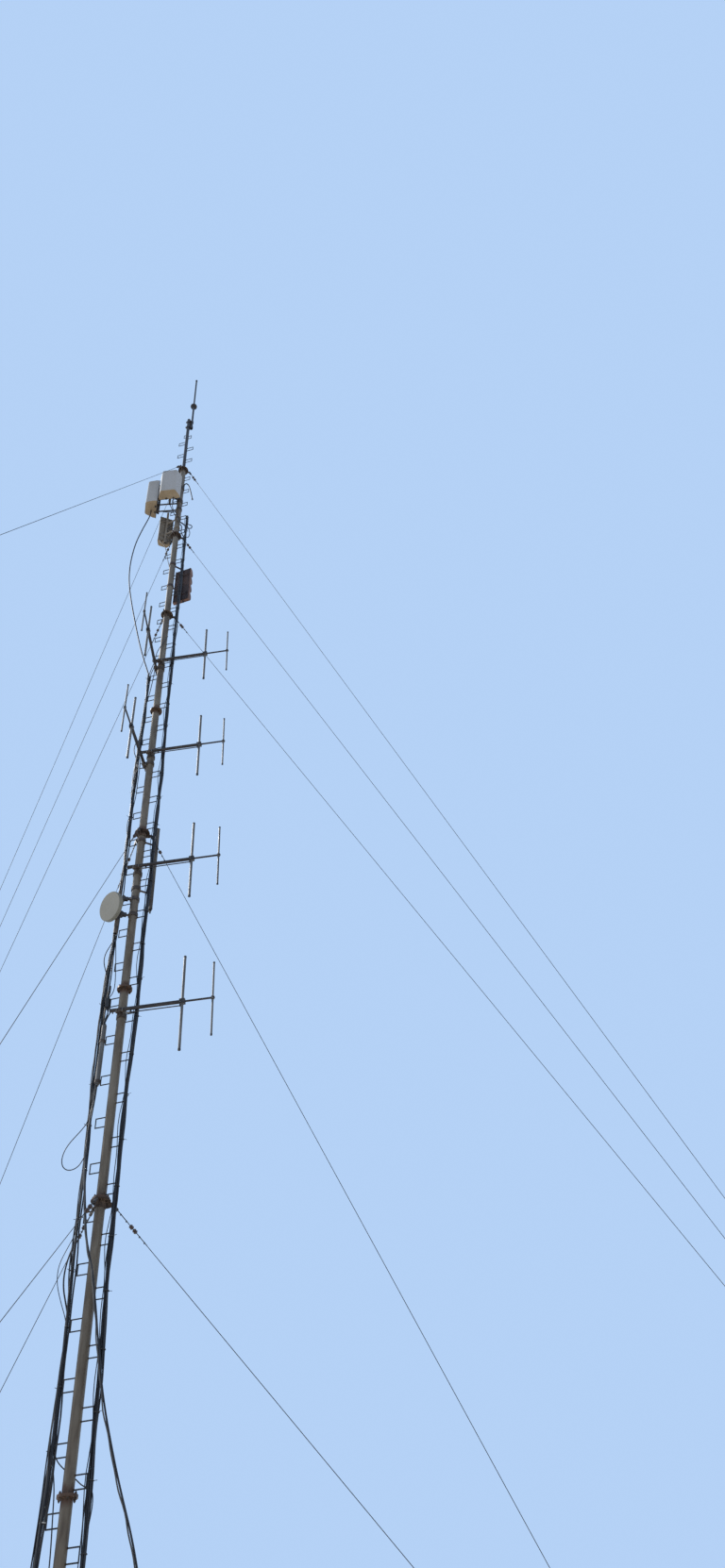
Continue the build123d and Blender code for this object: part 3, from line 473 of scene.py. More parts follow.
# Making, copying and placing pieces
def nothing_selected():
    bpy.ops.object.select_all(action="DESELECT")


def pick(piece):
    """Makes a piece the only selected one."""
    nothing_selected()
    piece.select_set(True)
    bpy.context.view_layer.objects.active = piece


def apply_place(moved=True):
    """Puts the scale, and also the place unless told otherwise, into the mesh itself."""
    bpy.ops.object.transform_apply(location=moved, rotation=moved, scale=True)


def as_mesh(line):
    pick(line)
    bpy.ops.object.convert(target="MESH")
    bpy.ops.object.shade_smooth()
    return bpy.context.object


def settle(piece, name, slot_name, finish=None):
    """Puts a finished piece's place into its mesh and hangs it on the mast."""
    pick(piece)
    apply_place()
    piece.name = name
    piece.data.name = name
    paint(piece, finish or SLOT_FINISHES[slot_name])
    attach(piece, "root")
    return piece


def together(parts):
    """Joins several meshes into one."""
    nothing_selected()
    for part in parts:
        part.select_set(True)
    bpy.context.view_layer.objects.active = parts[0]
    if len(parts) > 1:
        bpy.ops.object.join()
    apply_place()
    return bpy.context.object


def repeated(model, places, name, slot_name, finish=None):
    """One piece made of copies of a small model, which is then taken away."""
    twins = []
    for place in places:
        twin = model.copy()
        twin.data = model.data.copy()
        twin.matrix_world = place
        bpy.context.collection.objects.link(twin)
        twins.append(twin)
    joined = together(twins)
    bpy.data.objects.remove(model, do_unlink=True)
    return settle(joined, name, slot_name, finish)


def bar(radius, length, centre=(0, 0, 0), sides=12, edge=0.0, turn=(0, 0, 0)):
    """Round or many sided bar with its edges eased."""
    nothing_selected()
    bpy.ops.mesh.primitive_cylinder_add(
        vertices=sides, radius=radius, depth=length, location=centre, rotation=turn
    )
    made = bpy.context.object
    ease(made, edge)
    return made


def block(size, centre=(0, 0, 0), edge=0.0, turn=(0, 0, 0)):
    """Box with its edges eased."""
    nothing_selected()
    bpy.ops.mesh.primitive_cube_add(size=1.0, location=centre, rotation=turn)
    made = bpy.context.object
    made.scale = size
    apply_place(False)
    ease(made, edge)
    return made


def ease(made, edge):
    if edge <= 0:
        return
    pick(made)
    softened = made.modifiers.new("eased", "BEVEL")
    softened.width = edge
    softened.segments = 1
    softened.limit_method = "ANGLE"
    bpy.ops.object.modifier_apply(modifier="eased")


def ring(radius, thick, centre=(0, 0, 0), turn=(0, 0, 0), around=24, across=6, squash=1.0):
    """Round bead, such as a weld or a wrap."""
    nothing_selected()
    bpy.ops.mesh.primitive_torus_add(
        major_radius=radius, minor_radius=thick, location=centre, rotation=turn,
        major_segments=around, minor_segments=across,
    )
    made = bpy.context.object
    if squash != 1.0:
        made.scale = (1, 1, squash)
        apply_place(False)
    return made


QUARTER = math.pi / 2


def u_bolt(radius, rod_radius, leg, nut):
    """Rod bent round a tube along x, with nuts on its two legs; its arch lies on the legs' side."""
    nothing_selected()
    bpy.ops.mesh.primitive_circle_add(vertices=8, radius=rod_radius, location=(0, radius, 0))
    arch = bpy.context.object
    apply_place()
    bpy.ops.object.mode_set(mode="EDIT")
    bpy.ops.mesh.select_all(action="SELECT")
    bpy.ops.mesh.spin(steps=10, angle=math.pi, center=(0, 0, 0), axis=(1, 0, 0))
    bpy.ops.mesh.select_all(action="SELECT")
    bpy.ops.mesh.remove_doubles(threshold=0.00001)
    bpy.ops.mesh.normals_make_consistent(inside=False)
    bpy.ops.object.mode_set(mode="OBJECT")
    parts = [arch]
    for side in (-radius, radius):
        parts.append(bar(rod_radius, leg, (0, side, -leg / 2), 8))
        parts.append(bar(nut, nut, (0, side, -leg + nut * 1.3), 6, nut * 0.12))
    return together(parts)


def hex_bolt(across, washer):
    """Washer and hexagon head that stand on a face, with the rod's end through it."""
    parts = [
        bar(washer, across * 0.12, (0, 0, across * 0.06), 16, across * 0.02),
        bar(across * 0.577, across * 0.62, (0, 0, across * 0.43), 6, across * 0.06),
        bar(across * 0.30, across * 0.5, (0, 0, across * 0.90), 8, across * 0.05),
    ]
    return together(parts)


# Flange joints: bolts, welds and steps' welds
def flange_pieces():
    heads = []
    nuts = []
    beads = []
    for joint in JOINTS:
        under = FLANGE_THICK + (COLLAR_PLATE if joint in COLLAR_JOINTS else 0.0)
        for number in range(BOLT_COUNT):
            spot = heading(FIRST_BOLT + 360 / BOLT_COUNT * number) * BOLT_CIRCLE
            heads.append(stand(spot + lift(joint + FLANGE_THICK)))
            nuts.append(stand(spot + lift(joint - under), (0, 0, -1)))
        if joint != JOINTS[-1]:  # a thinner pole stands on the last joint
            beads.append(stand((0, 0, joint + FLANGE_THICK + 0.001)))
        if joint not in COLLAR_JOINTS:
            beads.append(stand((0, 0, joint - FLANGE_THICK - 0.001)))
    repeated(hex_bolt(0.024, 0.016), heads + nuts, "flange_bolts", "rusty_steel")
    repeated(ring(POLE + 0.001, WELD, around=28), beads, "flange_welds", "rusty_steel")
    studs = []
    for number in range(BASE_BOLT_COUNT):
        spot = heading(360 / BASE_BOLT_COUNT * number) * BASE_BOLT_CIRCLE
        studs.append(stand(spot + lift(BASE_THICK)))
    repeated(hex_bolt(0.036, 0.026), studs, "base_stud_nuts", "fitting_steel")


flange_pieces()


def step_heights(first):
    """Upper edge of each step of a row, from the lowest up."""
    return [joint + first + STEP_PITCH * number for joint in JOINTS[:-1] for number in range(SECTION_STEPS)]


def step_welds():
    rows = [
        (TOP_POLE, RIGHT_STEPS, [JOINTS[-1] + rise for rise in RIGHT_TOP_STEPS]),
        (TOP_POLE, LEFT_STEPS, [JOINTS[-1] + rise for rise in LEFT_TOP_STEPS]),
        (POLE, RIGHT_STEPS, step_heights(FIRST_RIGHT)),
        (POLE, LEFT_STEPS, step_heights(FIRST_LEFT)),
    ]
    places = []
    for pole, azimuth, heights in rows:
        for upper in heights:
            for drop in STEP_RODS:
                spot = heading(azimuth) * (pole + 0.002) + lift(upper - drop)
                places.append(stand(spot, heading(azimuth), (0, 0, 1)))
    repeated(ring(0.0085, 0.004, around=10, across=5), places, "step_welds", "rusty_steel")


step_welds()


# Bolts of the two clamps at the mast's top, and the plate between pole and extension
def extension_pieces():
    along = heading(EXTENSION_AZIMUTH)
    across = heading(EXTENSION_AZIMUTH + 90)
    bolts = []
    for clamp in EXTENSION_CLAMPS:
        for rise in (-0.024, 0.024):
            level = lift(JOINTS[-1] + clamp + rise)
            for side in (-1, 1):
                spot = along * EXTENSION_AXIS * 0.55 + across * side * 0.030
                bolts.append(stand(spot + level, across * side))
            bolts.append(stand(along * -0.048 + level, -along))
    repeated(hex_bolt(0.020, 0.014), bolts, "extension_bolts", "rusty_steel")
    middle = JOINTS[-1] + sum(EXTENSION_CLAMPS) / 2
    plate = block(FILLER_PLATE, (0, 0, 0), 0.003)
    plate.matrix_world = stand(along * FILLER_AXIS + lift(middle), (0, 0, 1), along)
    weld = ring(TOP_POLE + 0.001, WELD, (0, 0, JOINTS[-1] + FLANGE_THICK + 0.001))
    settle(together([plate, weld]), "extension_plate", "rusty_steel")


extension_pieces()


def duct_collars():
    """Bands round the mouth and the foot of each duct."""
    places = [stand(heading(azimuth) * DUCT_AXIS) for azimuth in (LEFT_STEPS, RIGHT_STEPS)]
    mouth = ring(DUCT, 0.0055, (0, 0, 0.212), around=32, squash=1.8)
    foot = ring(DUCT, 0.0035, (0, 0, 0.062), around=32, squash=3.0)
    repeated(together([mouth, foot]), places, "duct_collars", "duct_grey")


duct_collars()


# Cables
LEFT_ROUTE = [
    (-0.2, 0.104, 17.62), (-0.194, 0.112, 17.05), (-0.19, 0.116, 16.45), (-0.206, 0.108, 15.85),
    (-0.217, 0.1, 15.25), (-0.22, 0.104, 14.65), (-0.212, 0.11, 14.05), (-0.203, 0.104, 13.45),
    (-0.202, 0.11, 12.85), (-0.203, 0.104, 12.25), (-0.216, 0.112, 11.65), (-0.232, 0.122, 11.05),
    (-0.25, 0.144, 10.45), (-0.257, 0.151, 9.85), (-0.256, 0.153, 9.25), (-0.25, 0.146, 8.65),
    (-0.232, 0.118, 8.08), (-0.229, 0.108, 7.5), (-0.226, 0.102, 6.95), (-0.205, 0.104, 6.4),
    (-0.2, 0.112, 5.8), (-0.192, 0.118, 5.23), (-0.189, 0.124, 4.7), (-0.212, 0.112, 4.2),
    (-0.238, 0.104, 3.7), (-0.236, 0.112, 3.15), (-0.224, 0.104, 2.6), (-0.228, 0.112, 2.05),
    (-0.224, 0.106, 1.5), (-0.23, 0.114, 0.95), (-0.229, 0.108, 0.42), (-0.227, 0.113, 0.008),
]
RIGHT_ROUTE = [
    (0.206, -0.1025, 23.0765), (0.204, -0.102, 22.64), (0.204, -0.102, 22.2), (0.203, -0.104, 21.6),
    (0.2, -0.098, 20.98), (0.203, -0.104, 20.36), (0.197, -0.1, 19.76), (0.195, -0.106, 19.16),
    (0.194, -0.102, 18.56), (0.197, -0.1, 17.94), (0.194, -0.106, 17.34), (0.191, -0.11, 16.74),
    (0.195, -0.104, 16.12), (0.202, -0.098, 15.5), (0.208, -0.094, 14.9), (0.205, -0.1, 14.3),
    (0.196, -0.104, 13.7), (0.192, -0.11, 13.12), (0.197, -0.1, 12.6), (0.188, -0.116, 12.04),
    (0.176, -0.126, 11.48), (0.184, -0.116, 10.9), (0.198, -0.1, 10.3), (0.192, -0.108, 9.72),
    (0.168, -0.124, 9.16), (0.163, -0.122, 8.56), (0.162, -0.126, 7.98), (0.17, -0.122, 7.42),
    (0.157, -0.126, 6.88), (0.168, -0.122, 6.32), (0.197, -0.106, 5.76), (0.196, -0.102, 5.18),
    (0.203, -0.096, 4.62), (0.212, -0.092, 4.06), (0.206, -0.1, 3.46), (0.208, -0.096, 2.86),
    (0.204, -0.102, 2.26), (0.208, -0.098, 1.66), (0.206, -0.102, 1.08), (0.216, -0.106, 0.52),
    (0.213, -0.108, 0.008),
]
PANEL_ROUTE = [
    (-0.612, 0.165, 23.679), (-0.614, 0.15, 23.45), (-0.656, 0.13, 23.164), (-0.712, 0.105, 22.832),
    (-0.764, 0.082, 22.49), (-0.812, 0.062, 22.14), (-0.842, 0.05, 21.79), (-0.86, 0.046, 21.44),
    (-0.863, 0.046, 21.08), (-0.848, 0.05, 20.72), (-0.81, 0.056, 20.37), (-0.756, 0.06, 20.03),
    (-0.694, 0.065, 19.69), (-0.626, 0.071, 19.35), (-0.556, 0.077, 19.01), (-0.486, 0.082, 18.68),
    (-0.414, 0.089, 18.37), (-0.34, 0.095, 18.09), (-0.268, 0.1, 17.85), (-0.205, 0.104, 17.624),
]
CROSSING_ROUTE = [
    (-0.213, 0.106, 9.054), (-0.214, 0.098, 8.92), (-0.222, 0.07, 8.76), (-0.232, 0.036, 8.56),
    (-0.238, 0, 8.35), (-0.236, -0.04, 8.13), (-0.226, -0.084, 7.9), (-0.212, -0.122, 7.72),
    (-0.196, -0.15, 7.55), (-0.174, -0.16, 7.38), (-0.146, -0.168, 7.19), (-0.118, -0.172, 6.99),
    (-0.066, -0.174, 6.8), (-0.008, -0.176, 6.62), (0.038, -0.178, 6.4), (0.082, -0.178, 6.18),
    (0.122, -0.18, 5.95), (0.17, -0.184, 5.7), (0.222, -0.188, 5.43), (0.29, -0.192, 5.16),
    (0.368, -0.197, 4.9), (0.45, -0.202, 4.64), (0.538, -0.207, 4.39), (0.626, -0.212, 4.15),
    (0.702, -0.216, 3.9), (0.762, -0.217, 3.64), (0.798, -0.215, 3.37), (0.806, -0.21, 3.09),
    (0.788, -0.203, 2.82), (0.75, -0.195, 2.55), (0.7, -0.187, 2.28), (0.642, -0.179, 2.01),
    (0.578, -0.171, 1.75), (0.512, -0.163, 1.49), (0.446, -0.156, 1.23), (0.384, -0.149, 0.97),
    (0.326, -0.143, 0.71), (0.282, -0.136, 0.46), (0.259, -0.129, 0.23), (0.2638, -0.1315, 0.008),
]
SLACK_ROUTE = [
    (-0.252, 0.1176, 8.7), (-0.259, 0.112, 8.59), (-0.292, 0.098, 8.49), (-0.342, 0.084, 8.4),
    (-0.4, 0.072, 8.31), (-0.456, 0.064, 8.22), (-0.5, 0.062, 8.12), (-0.518, 0.062, 8.01),
    (-0.496, 0.064, 7.92), (-0.44, 0.068, 7.88), (-0.376, 0.074, 7.89), (-0.322, 0.08, 7.93),
    (-0.284, 0.086, 7.99), (-0.2553, 0.1012, 8.08),
]


def new_line(name, radius, roundness, caps=True):
    line = bpy.data.curves.new(name, "CURVE")
    line.dimensions = "3D"
    line.bevel_depth = radius
    line.bevel_resolution = roundness
    line.use_fill_caps = caps
    return line


def linked(line):
    """Object of a line, linked into the scene."""
    piece = bpy.data.objects.new(line.name, line)
    bpy.context.collection.objects.link(piece)
    return piece


def smooth_line(name, points, radius, steps=5):
    """Smooth open line with those control points, round where it has a radius."""
    line = new_line(name, radius, 2, radius > 0)
    line.resolution_u = steps
    spline = line.splines.new("NURBS")
    spline.points.add(len(points) - 1)
    for point, place in zip(spline.points, points):
        point.co = (*place, 1.0)
    spline.order_u = 3
    spline.use_endpoint_u = True
    return linked(line)


def hang_cable(name, points, diameter, node, **facts):
    piece = smooth_line(name, points, diameter / 2)
    paint(piece, cable_finish)
    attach(piece, "root")
    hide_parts(node)
    return piece


hang_cable("panel_feeder", PANEL_ROUTE, 0.025, "panel_cable", length=6.14, stiffness="stiff", lay="hanging")
hang_cable(
    "crossing_feeder", CROSSING_ROUTE, 0.020, "crossing_cable", length=9.24, stiffness="stiff", lay="hanging"
)
hang_cable("slack_feeder", SLACK_ROUTE, 0.012, "slack_loop", length=1.19, stiffness="stiff", lay="loose")


def line_samples(points, steps):
    """Points along the smooth line through a route."""
    guide = smooth_line("guide", points, 0.0, steps)
    drawn = bpy.data.meshes.new_from_object(guide)
    samples = [vertex.co.copy() for vertex in drawn.vertices]
    bpy.data.meshes.remove(drawn)
    bpy.data.objects.remove(guide, do_unlink=True)
    return samples


def cable_bundle(name, points, strands, node, finish, looser=()):
    """Several cables that run side by side and wander a little round each other."""
    samples = line_samples(points, 4)
    line = new_line(name, 1.0, 1)
    for number, (radius, out, turn, drift) in enumerate(strands):
        spline = line.splines.new("POLY")
        spline.points.add(len(samples) - 1)
        for index, (point, sample) in enumerate(zip(spline.points, samples)):
            loose = 1.0 + 0.45 * math.sin(0.9 * index + 1.7 * number) * math.sin(0.23 * index + number)
            for middle, reach, more in looser:
                loose += more * math.exp(-((sample.z - middle) / reach) ** 2)
            angle = math.radians(turn) + 0.35 * math.sin(drift * index + number)
            side = Vector((math.cos(angle), math.sin(angle), 0)) * out * loose
            point.co = (*(sample + side), 1.0)
            point.radius = radius
    piece = as_mesh(linked(line))
    settle(piece, name, "cable_black", finish)
    if node:
        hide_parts(node)
    return piece


# Heights at which the left bundle hangs looser: middle, reach and how much more
LEFT_LOOSER = ((10.3, 1.1, 0.75), (7.0, 0.6, 0.55), (15.3, 0.7, 0.40), (12.6, 0.6, 0.40), (4.8, 0.6, 0.80))
cable_bundle("left_cable_bundle", LEFT_ROUTE, [
    (0.0100, 0.000, 0, 0.10), (0.0090, 0.018, 10, 0.13), (0.0080, 0.018, 75, 0.17),
    (0.0090, 0.019, 140, 0.11), (0.0070, 0.019, 200, 0.19), (0.0080, 0.018, 255, 0.15),
], "left_feeders", cable_finish, LEFT_LOOSER)
# Two pale strands on the bundle's sunlit left side, for its dust and as painted highlight
cable_bundle("left_dust_and_highlight_cables", LEFT_ROUTE, [
    (0.0065, 0.026, 232, 0.21), (0.0055, 0.025, 185, 0.16),
], None, dust_and_highlight_finish, LEFT_LOOSER)
cable_bundle("right_cable_bundle", RIGHT_ROUTE, [
    (0.0110, 0.000, 0, 0.12), (0.0095, 0.019, 20, 0.14), (0.0080, 0.018, 95, 0.18),
    (0.0095, 0.019, 165, 0.12), (0.0075, 0.018, 230, 0.16), (0.0085, 0.018, 300, 0.20),
], "right_feeders", cable_finish)
cable_bundle("right_dusty_cables", RIGHT_ROUTE, [
    (0.0055, 0.026, 205, 0.14), (0.0050, 0.044, 188, 0.05),
], None, cable_finish)
# Pale strand on the crossing cable's sunlit left side, for its dust and as painted highlight; it also makes
# the cable look thicker
cable_bundle("crossing_twin", CROSSING_ROUTE, [(0.0080, 0.0195, 215, 0.05)], None, dust_and_highlight_finish)


def route_at(points, height):
    """Place of an upright route at a height."""
    for upper, lower in zip(points, points[1:]):
        if upper[2] >= height >= lower[2]:
            share = (upper[2] - height) / (upper[2] - lower[2])
            return Vector(upper).lerp(Vector(lower), share)
    return None


# Ties: height under a step's upper edge, and which steps of the left row have a pale one
TIE_DROP = 0.07
PALE_EVERY = 9
PALE_FIRST = 4


def cable_ties():
    dark = []
    pale = []
    rows = ((RIGHT_ROUTE, RIGHT_STEPS, FIRST_RIGHT), (LEFT_ROUTE, LEFT_STEPS, FIRST_LEFT))
    for points, azimuth, first in rows:
        for number, upper in enumerate(step_heights(first)):
            spot = route_at(points, upper - TIE_DROP)
            if spot is None:
                continue
            place = stand(spot, (0, 0, 1), heading(azimuth + 180 + 60 * math.sin(2.1 * number)))
            is_pale = azimuth == LEFT_STEPS and number % PALE_EVERY == PALE_FIRST
            (pale if is_pale else dark).append(place)
    for name, places, finish in (("dark_ties", dark, black_finish), ("pale_ties", pale, tie_finish)):
        strap = ring(0.0305, 0.0035, around=16, across=5, squash=1.5)
        head = block((0.010, 0.012, 0.011), (-0.032, 0.004, 0), 0.001)
        tail = block((0.045, 0.002, 0.006), (-0.052, 0.012, 0.004), 0.0004, (0.2, 0.25, 0.35))
        repeated(together([strap, head, tail]), places, name, "box_black", finish)


cable_ties()


# Guys: wire grips and doubled wire ends; distances are along a guy, from its upper hole
FORK_END = 0.092
BEAD_GAP = BEAD_HALF + 0.012
TENSIONER_TAIL = (0.760, 0.560)
LAST_TAIL = 0.26
GRIP_SPACING = 0.095
WIRE_GAP = 0.008


def guy_lines():
    """Upper hole, lower hole, direction and insulators of each guy."""
    lines = []
    for side, joints in GUY_JOINTS.items():
        slots = {}
        for joint in joints:
            anchor = (INNER_ANCHORS if joint in INNER_JOINTS else OUTER_ANCHORS)[side]
            slot = slots.get(anchor, 0)
            slots[anchor] = slot + 1
            azimuth = azimuth_of(anchor)
            height = JOINTS[joint] - FLANGE_THICK - COLLAR_PLATE - LUG_HOLE_DROP
            top = heading(azimuth) * LUG_HOLE_OUT + lift(height)
            lean = heading(azimuth) * -ANCHOR_LEAN[0] + lift(ANCHOR_LEAN[1])
            foot = Vector((*anchor, 0)) + lean * ANCHOR_HOLE + lift(ANCHOR_HOLE_GAP * slot)
            beads = BEADS[side][joints.index(joint)]
            lines.append((top, foot, (foot - top).normalized(), beads))
    return lines


def wire_grip():
    """Small saddle, U rod and two nuts that pinch two wires together."""
    saddle = block((0.020, 0.014, 0.008), (0, 0, -0.007), 0.0012)
    loop = ring(0.0075, 0.0020, (0, 0, 0), (0, QUARTER, 0), around=12, across=5)
    nuts = [bar(0.0045, 0.005, (0, side, -0.013), 6) for side in (-0.0075, 0.0075)]
    return together([saddle, loop] + nuts)


def guy_pieces():
    grips = []
    tails = []
    for top, foot, along, beads in guy_lines():
        side = along.cross(lift(1)).normalized()
        far = (foot - top).length
        runs = [(FORK_END, beads[0] - BEAD_GAP), (far - TENSIONER_TAIL[0], far - TENSIONER_TAIL[1])]
        for bead, after in zip(beads, beads[1:] + (beads[-1] + LAST_TAIL,)):
            if after - bead > 2 * BEAD_GAP:
                runs.append((bead + BEAD_GAP, after - BEAD_GAP))
        for start, end in runs:
            tails.append([top + along * reach + side * WIRE_GAP for reach in (start, end)])
            count = max(1, round((end - start) / GRIP_SPACING))
            for number in range(count):
                spot = start + (end - start) * (number + 0.5) / count
                grips.append(stand(top + along * spot + side * WIRE_GAP / 2, side, along))
    repeated(wire_grip(), grips, "wire_grips", "dark_steel")
    parts = []
    for start, end in tails:
        run = end - start
        part = bar(0.0035, run.length, (0, 0, 0), 6)
        part.matrix_world = stand((start + end) / 2, run, (run.y, -run.x, 0.001))
        parts.append(part)
    settle(together(parts), "guy_tails", "guy_wire")


guy_pieces()


# Upright antennas: caps, clamps and connectors, alike on all six; a clasp has a ring over and one
# under the boom, and four screws, placed across and up
CLASP_RISE = 0.03784
CLASP_SCREWS = (0.03234, 0.020)


def antenna_details():
    places = [boom_place(azimuth, height) for azimuth, height in RIGHT_BOOMS + LEFT_BOOMS]
    caps = []
    for reach, half, radius in (DRIVEN, DIRECTOR):
        for side in (-1, 1):
            caps.append(bar(radius + 0.0015, 0.030, (reach, 0, side * (half - 0.008)), 14, 0.004))
    caps.append(bar(BOOM + 0.0015, 0.024, (-0.130, 0, 0), 18, 0.005, (0, QUARTER, 0)))
    caps.append(bar(0.0155, 0.020, (1.290, 0, 0), 14, 0.004, (0, QUARTER, 0)))
    repeated(together(caps), places, "tube_caps", "slim_black")
    metal = []
    for side in (-1, 1):
        metal.append(ring(DRIVEN[2] + 0.006, 0.004, (DRIVEN[0], 0, side * CLASP_RISE), around=18))
    for side in (-1, 1):
        for end in (-1, 1):
            screw = (DRIVEN[0] - 0.020, side * CLASP_SCREWS[0], end * CLASP_SCREWS[1])
            metal.append(bar(0.006, 0.010, screw, 6, 0.001, (QUARTER, 0, 0)))
    for side in (1, -1):
        metal.append(ring(DIRECTOR[2] + 0.008, 0.003, (DIRECTOR[0], 0, side * 0.018), around=16))
    metal.append(bar(0.0115, 0.040, (0.120, 0, -FEED_TUBE_DROP), 12, 0.002, (0, QUARTER, 0)))
    metal.append(bar(0.0130, 0.012, (0.108, 0, -FEED_TUBE_DROP), 6, 0.001, (0, QUARTER, 0)))
    for shift in (-0.040, 0.040):
        bolt = u_bolt(BOOM + 0.0045, 0.004, 0.050, 0.0075)
        bolt.location = (shift, 0, 0)
        metal.append(bolt)
    repeated(together(metal), places, "antenna_clasps", "fitting_steel")


antenna_details()


# Panel antennas: seams, straps, bolts and cable glands; each with its place, width and height
PANELS = [
    ("one", panel_place(-0.235, -0.158, 23.760, 197), 0.480, 0.940),
    ("two", panel_place(-0.500, 0.120, 23.680, 270), 0.440, 0.960),
    ("three", panel_place(-0.235, 0.226, 22.580, 350), 0.300, 0.970),
    ("four", panel_place(0.236, 0.118, 20.220, 30), 0.350, 1.140),
]
RAIL = 0.022
PIPE = 0.024
SEAM_INSET = 0.004


def drawn_tube(points, radius, closed=False):
    """Round tube through points, straight from one to the next."""
    line = new_line("tube", radius, 1, not closed)
    spline = line.splines.new("POLY")
    spline.points.add(len(points) - 1)
    for point, place in zip(spline.points, points):
        point.co = (*place, 1.0)
    spline.use_cyclic_u = closed
    return as_mesh(linked(line))


def gland(length):
    """Cable gland that hangs down: hexagon, threaded neck and ribbed nut."""
    parts = [
        bar(0.017, 0.012, (0, 0, -0.006), 6, 0.001),
        bar(0.012, length, (0, 0, -length / 2), 12, 0.001),
        bar(0.015, 0.018, (0, 0, -length + 0.004), 12, 0.002),
    ]
    return together(parts)


def panel_pieces():
    seams = []
    straps = []
    bolts = []
    glands = []
    for name, place, width, height in PANELS:
        half = width / 2 - SEAM_INSET
        low = SEAM_INSET
        high = height - SEAM_INSET
        corners = [(-half, 0, low), (half, 0, low), (half, 0, high), (-half, 0, high)]
        if name != "four":
            seams.append(drawn_tube([place @ Vector(corner) for corner in corners], 0.007, closed=True))
        for share in (0.2, 0.8):
            for shift in (-0.014, 0.014):
                middle = Vector((0, -RAIL - PIPE, height * share + shift))
                straps.append(place @ stand(middle, (0, -1, 0), (0, 0, 1)))
            for side in (-0.38, 0.38):
                middle = Vector((width * side, -RAIL, height * share))
                bolts.append(place @ stand(middle, (0, -1, 0)))
        for spot in ((-0.20, 0.026), (0.14, 0.026)):
            glands.append(place @ Matrix.Translation((width * spot[0], spot[1], 0.0)))
    glands.append(PANELS[1][1] @ Matrix.Translation((0.045, 0.112, 0.0)))
    settle(together(seams), "panel_seams", "slim_black")
    repeated(u_bolt(PIPE + 0.0045, 0.004, 0.052, 0.0075), straps, "panel_straps", "dark_steel")
    repeated(hex_bolt(0.017, 0.012), bolts, "panel_bolts", "dark_steel")
    repeated(gland(0.046), glands, "panel_glands", "box_black")


panel_pieces()


